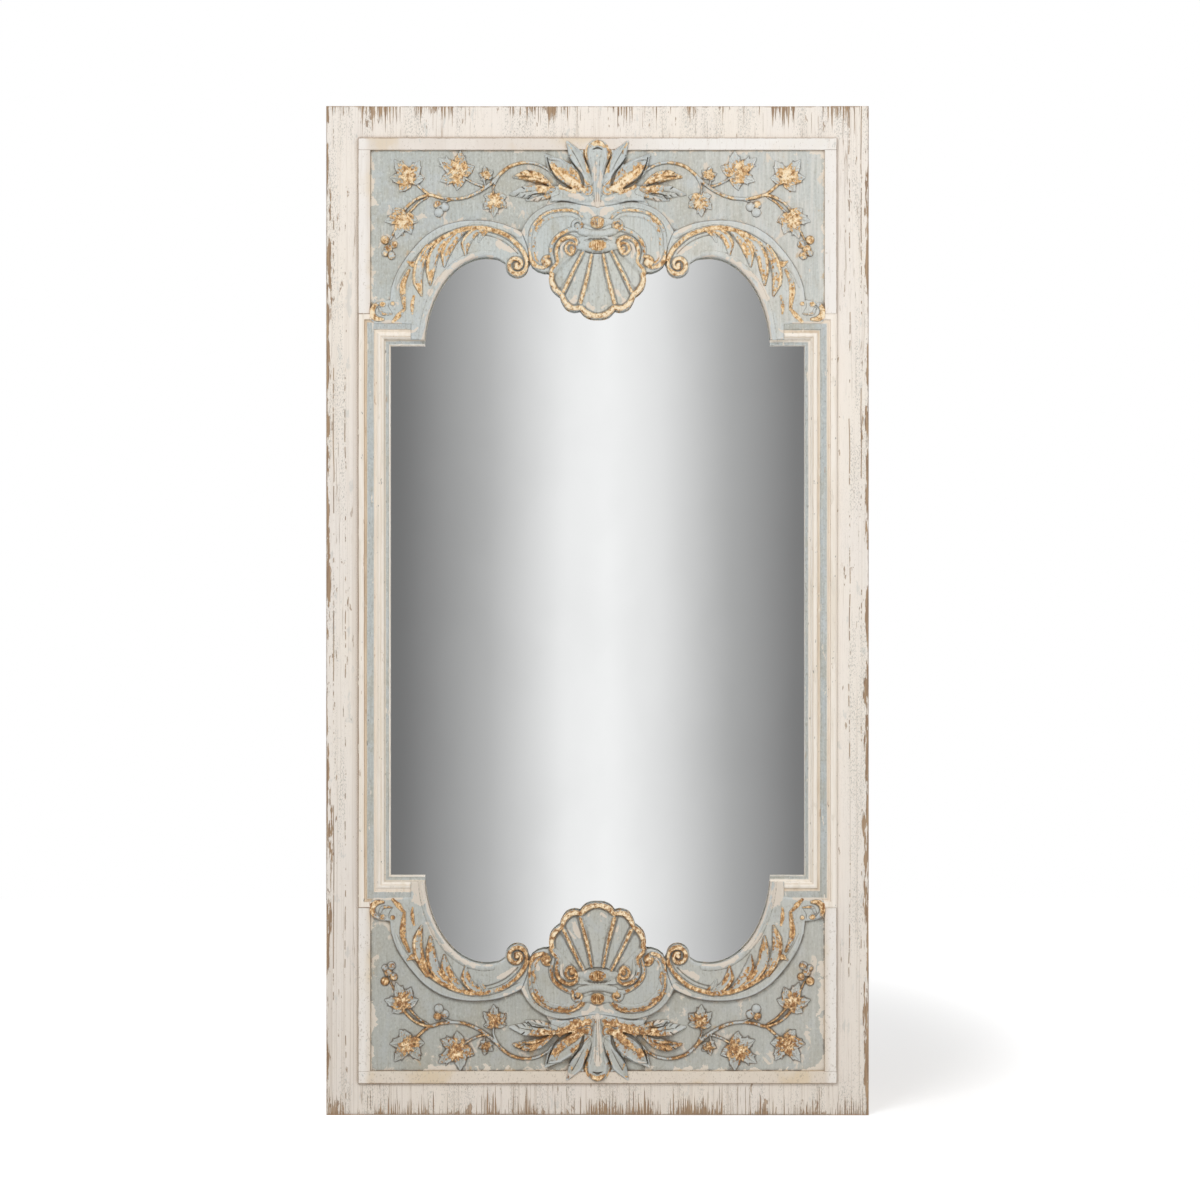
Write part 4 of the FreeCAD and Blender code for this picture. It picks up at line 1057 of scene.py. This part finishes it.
    # Plume: a broad leaf on a reeded stem, its tip folded forward
    stem = [(0, 178), (0, 152), (0, 128), (0, 106)]
    c.stroke(stem, [11, 18, 24, 34], [11, 13.5, 14.5, 15], 0.05, "flat", 0.35)
    c.stroke([(0, 108), (0, 94), (0, 82)], [34, 46, 42], [15, 16.5, 17], 0.05, "flat", 0.5)
    for u in (-9.0, -3.2, 3.2, 9.0):
        reed = [(u * 0.55, 172), (u * 0.8, 140), (u * 1.05, 112), (u * 1.5, 92)]
        c.groove(reed, [1.4, 2.4, 2.6, 1.2], 1.8, 0.24)
    tip = [(-12, 75), (-7, 70), (0, 68), (7, 70), (12, 75)]
    gold = [0.6, 0.95, 0.8, 0.95, 0.6]
    c.stroke(tip, [5, 9, 11, 9, 5], [3, 5, 5, 5, 3], gold, line=0.5, base=14.6, solid=False)
    c.groove([(-8, 79), (0, 76.5), (8, 79)], [1.5, 5, 1.5], 5)
    for sign in (-1, 1):
        side = [(sign * u, v) for u, v in ((20, 73), (24, 84), (22, 96), (16, 110))]
        c.groove(side, [1.6, 3.5, 3, 1.2], 6, 0.8)
        c.paint([(sign * 18, 71), (sign * 21.5, 82), (sign * 20, 95)], 9, 1.0)
    c.rubbed([(0, 180), (3, 172), (8, 176)], 10, 0.9)
    c.rubbed([(0, 166), (2, 140), (4, 112), (0, 92)], 12, 0.6)
    c.rubbed([(18, 168), (38, 163), (58, 156)], 12, 0.6)
    if at_foot:
        c.gild *= np.where(c.V < 140, 0.72, 1.0)
        c.paint([(14, 167), (34, 163), (54, 156), (74, 149), (96, 146)], 23, 0.95)
    c.paint([(78, 110), (60, 124), (44, 136), (28, 149)], 24, 0.72 if at_foot else 0.9)
    c.paint([(44, 152), (20, 150)], 15, 0.86)
    c.paint([(66, 145), (52, 152), (40, 156)], 9, 0.85)
    c.mirror()
    c.floor = np.where(c.V < STRIP_LOW * 1000 + 1.2, STRIP_RISE, 0.0)
    c.height = np.where(c.outside < 1, np.maximum(c.height, c.floor + 1.5), c.height)
    return c


def vine_leaf(c, u, v, length, width, aim, gold, seed):
    """A vine leaf: broad toothed lobes, painted, round a crumpled gilt middle."""
    chance = np.random.default_rng(seed)
    turn = math.radians(aim)
    foot = np.array([u - math.cos(turn) * length * 0.2, v - math.sin(turn) * length * 0.2])

    def ray(start, angle, reach):
        way = np.array([math.cos(angle), math.sin(angle)])
        return [start, start + way * reach * 0.5, start + way * reach]

    lobes = ((118, 0.47, 0.36), (-118, 0.45, 0.36), (60, 0.60, 0.40), (-60, 0.64, 0.40), (2, 0.75, 0.42))
    for turned, reach, wide in lobes:
        angle = turn + math.radians(turned + chance.uniform(-7, 7)) * width
        middle = ray(foot, angle, length * reach)[1]
        for lean in (-1, 1):
            side = angle + lean * math.radians(chance.uniform(34, 46))
            tooth = ray(middle, side, length * reach * chance.uniform(0.34, 0.42))
            widths = [length * k for k in (0.13, 0.12, 0.015)]
            c.stroke(tooth, widths, [5.0, 4.2, 2.4], [0.5, 0.36, 0.2], "vein", 0.85, base=0.3)
        widths = [length * wide * k for k in (0.6, 1.0, 0.72, 0.06)]
        lobe = ray(foot, angle, length * reach)
        c.stroke(lobe, widths, [6.0, 5.6, 3.0], [gold, 0.7, 0.36, 0.12], "vein", 0.85, base=0.3)
    heart = foot + np.array([math.cos(turn), math.sin(turn)]) * length * 0.16
    widths = [length * k for k in (0.10, 0.13, 0.04)]
    for k in range(9):
        angle = turn + math.radians(40 * k + chance.uniform(-14, 14))
        start = heart + chance.uniform(-0.05, 0.05, 2) * length
        fold = ray(start, angle, length * chance.uniform(0.16, 0.30))
        base = chance.uniform(2.8, 3.8)
        c.stroke(fold, widths, [4.4, 5.0, 2.6], [gold, gold, gold * 0.85], "roof", 0.6, base=base)


def vine_carving():
    """A wavy vine with branches, leaves, a bud and berries."""
    # Painted shade round the edges of every form of the vine
    c = Carving(76, 398, 76, 290, 0.2, dark_rim=0.85)
    stem = [
        (82, 118), (90, 113), (106, 104.5), (124, 101), (142, 103), (158, 109), (172, 120), (185, 134),
        (201, 146.5), (219, 157), (238.5, 164), (262, 166), (281, 163.5), (297.5, 159), (310, 161),
        (324, 167), (337, 177), (347.5, 190),
    ]
    gold = [0.15, 0.35, 0.25, 0.6, 0.7, 0.55, 0.45, 0.3, 0.4, 0.5, 0.3, 0.55, 0.75, 0.75, 0.6, 0.7]
    c.stroke(stem, [4, 5.5, 6, 6.5, 6.5, 6, 6, 6, 5.5, 5], [4, 5.2, 5.6, 5.6, 5.6, 5.4, 5, 4.8], gold)
    # Branches: line, widths, rise and gold
    for branch in (
        ([(303, 163), (318, 172), (330, 184), (342, 196)], [3, 4, 4, 3], 4.2, [0.5, 0.75, 0.6]),
        ([(172, 120), (181, 134), (186, 148), (184, 162)], [4, 4.5, 4, 3.5], 4.6, [0.4, 0.3, 0.5]),
        ([(197, 145), (212, 141), (226, 135), (240, 126)], [4, 5, 4.5, 4], 4.6, [0.5, 0.3, 0.55]),
        ([(200, 142), (202, 133), (200, 124)], [3, 3.5, 3], 4.2, 0.4),
        ([(299, 159), (311, 150), (322, 140), (331, 130)], [4.5, 5.5, 5, 4], 4.8, [0.7, 0.75, 0.6]),
        ([(352, 212), (362, 224), (369, 238)], [3, 4, 3], 3.8, [0.5, 0.7, 0.6]),
        ([(256, 166), (270, 171), (279, 176)], [3, 3.2, 2.5], 3.6, 0.25),
    ):
        c.stroke(*branch)
    # Leaves: place, length, spread, aim in degrees, gold and seed
    for leaf in (
        (183, 173, 46, 0.85, 90, 0.92, 3), (255, 113, 64, 0.95, -38, 0.95, 5),
        (341, 121, 60, 0.95, -60, 0.98, 8), (350, 207, 57, 0.85, 62, 0.98, 11),
        (199, 121, 27, 0.9, -80, 0.9, 14),
    ):
        vine_leaf(c, *leaf)
    c.base = 0.5
    for u, v, r, gilt in (
        (272.5, 180.5, 8, 0.35), (285, 176.5, 7.5, 0.6), (283, 190, 8.5, 0.15), (379, 239, 8, 0.8),
        (373, 255, 8, 0.55), (363, 247, 7, 0.6), (367, 267, 7.5, 0.35), (379, 263, 6, 0.4),
    ):
        c.dome(u, v, r, r, 6.5, gilt)
    return c


# Finishes
paint_stile = board_paint("white_paint", (60, 60, 2.2))
paint_rail = board_paint("white_paint_rail", (2.2, 60, 60))
paint_strip = strip_paint()
paint_ground = ground_paint()
paint_mould = moulding_paint()
paint_carved = carved_paint()
bare = wood("bare_wood", (204, 174, 132), (170, 134, 92), (60, 60, 2.4))
bare_cross = wood("bare_wood_cross", (202, 172, 132), (168, 132, 92), (2.4, 60, 60))
ply = wood("plywood", (214, 188, 148), (188, 154, 112), (34, 34, 1.3))
metal = steel()
silver = silvering()


def finish_of(name):
    if name == "mirror_glass":
        return silver
    if "hanger" in name or "screws" in name:
        return metal
    if name == "back_panel":
        return ply
    if "bead" in name:
        return bare if name.startswith(("left", "right")) else bare_cross
    if "cross" in name:
        return bare_cross
    if name in ("top_panel", "bottom_panel"):
        return paint_ground
    if "moulding" in name or name.endswith("return"):
        return paint_mould
    if name.endswith("strip"):
        return paint_strip
    if name.endswith("stile"):
        return paint_stile
    if name.endswith("rail"):
        return paint_rail
    return paint_carved


for name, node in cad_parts.items():
    node.data.materials.clear()
    node.data.materials.append(finish_of(name))

# Carved pieces: one of each kind for an end of the mirror, turned to its places
vine = vine_carving()
for up, end in ((1, "upper"), (-1, "lower")):
    arch = arch_carving(up < 0)
    for across, side in ((-1, "left"), (1, "right")):
        spot = end + "_" + side
        carve(spot + "_arch_carving", arch, across, up, [spot + "_arch_band", spot + "_leaf_spray"])
        carve(spot + "_vine_carving", vine, across, up, [spot + "_vine"])
for up, end in ((1, "top"), (-1, "bottom")):
    middle, crest = middle_carving(up < 0), crest_carving(up < 0)
    carve(end + "_cartouche_carving", middle, 1, up, [end + "_cartouche", end + "_knot", end + "_shell"])
    carve(end + "_crest_carving", crest, 1, up, [end + "_crest"])


def plane(name, corners, material):
    mesh = bpy.data.meshes.new(name)
    mesh.from_pydata(corners, [], [(0, 1, 2, 3)])
    mesh.materials.append(material)
    made = bpy.data.objects.new(name, mesh)
    bpy.context.scene.collection.objects.link(made)
    return made


# Floor: a white sheet that keeps the shadow
sheet = Finish("floor", Roughness=0.9, Specular_IOR_Level=0.0, Emission_Color=(1, 1, 1, 1))
off_x, off_y = (sheet.x - SHADOW_X) * 2.3, (sheet.y - SHADOW_Y) * 0.5
away = sheet.math("SQRT", off_x * off_x + off_y * off_y)
fade = most(away.step(0.25, 2.2), sheet.y.step(0.02, -0.12))
glow = sheet.seen_straight() * fade.span(0.0, 1.0, SHADOW_GLOW, 1.0)
sheet.link(glow, sheet.shader.inputs["Emission Strength"])
greys = {0: sheet.node("LightPath", out="Is Camera Ray"), 6: (0.6, 0.6, 0.6, 1), 7: (0.9, 0.9, 0.9, 1)}
sheet.finish(sheet.node("Mix", greys, out=2, data_type="RGBA"))
plane("floor", FLOOR_CORNERS, sheet.material)

# Card behind the camera whose grey is seen only in the mirror and the gilding
grey = Finish("card")
grey.tree.nodes.remove(grey.shader)
ramp = grey.tree.nodes.new("ShaderNodeValToRGB")
while len(ramp.color_ramp.elements) < len(CARD_GREYS):
    ramp.color_ramp.elements.new(0.5)
for element, (spot, value) in zip(ramp.color_ramp.elements, CARD_GREYS):
    element.position = spot
    element.color = linear((value, value, value))
grey.link(grey.x.span(-CARD_REACH, CARD_REACH, 0.0, 1.0), ramp.inputs[0])
glow = grey.node("Emission", {0: Value(grey, ramp.outputs[0]), 1: 1.0})
grey.link(glow, grey.tree.nodes["Material Output"].inputs[0])
card = plane("card", CARD_CORNERS, grey.material)
card.visible_camera = card.visible_diffuse = card.visible_shadow = False
card.visible_transmission = card.visible_volume_scatter = False

# World: white to the eye and in reflections, softer as a light
world = bpy.data.worlds.new("world")
bpy.context.scene.world = world
world.use_nodes = True
sky = Nodes(world.node_tree)
backdrop = sky.tree.nodes["Background"]
backdrop.inputs[0].default_value = (1, 1, 1, 1)
sky.link(sky.seen_straight().span(0.0, 1.0, SKY_LIGHT, 1.0), backdrop.inputs[1])

# Lamps, none of which shows in the mirror; the fill casts no shadow
for name, spot, aim, size, power in LAMPS:
    light = bpy.data.lights.new(name, "AREA")
    light.shape = "SQUARE"
    light.size = size
    light.energy = power
    light.use_shadow = name != "fill"
    lamp = bpy.data.objects.new(name, light)
    lamp.location = spot
    lamp.rotation_euler = (Vector(aim) - Vector(spot)).to_track_quat("-Z", "Y").to_euler()
    lamp.visible_glossy = False
    bpy.context.scene.collection.objects.link(lamp)

# Camera at the photograph's angle
camera = bpy.data.cameras.new("camera")
camera.sensor_width = SENSOR_MM
camera.lens = LENS_MM
eye = bpy.data.objects.new("camera", camera)
eye.location = EYE
eye.rotation_euler = (math.radians(90), 0, 0)
bpy.context.scene.collection.objects.link(eye)
bpy.context.scene.camera = eye
bpy.context.scene.view_settings.view_transform = "Standard"
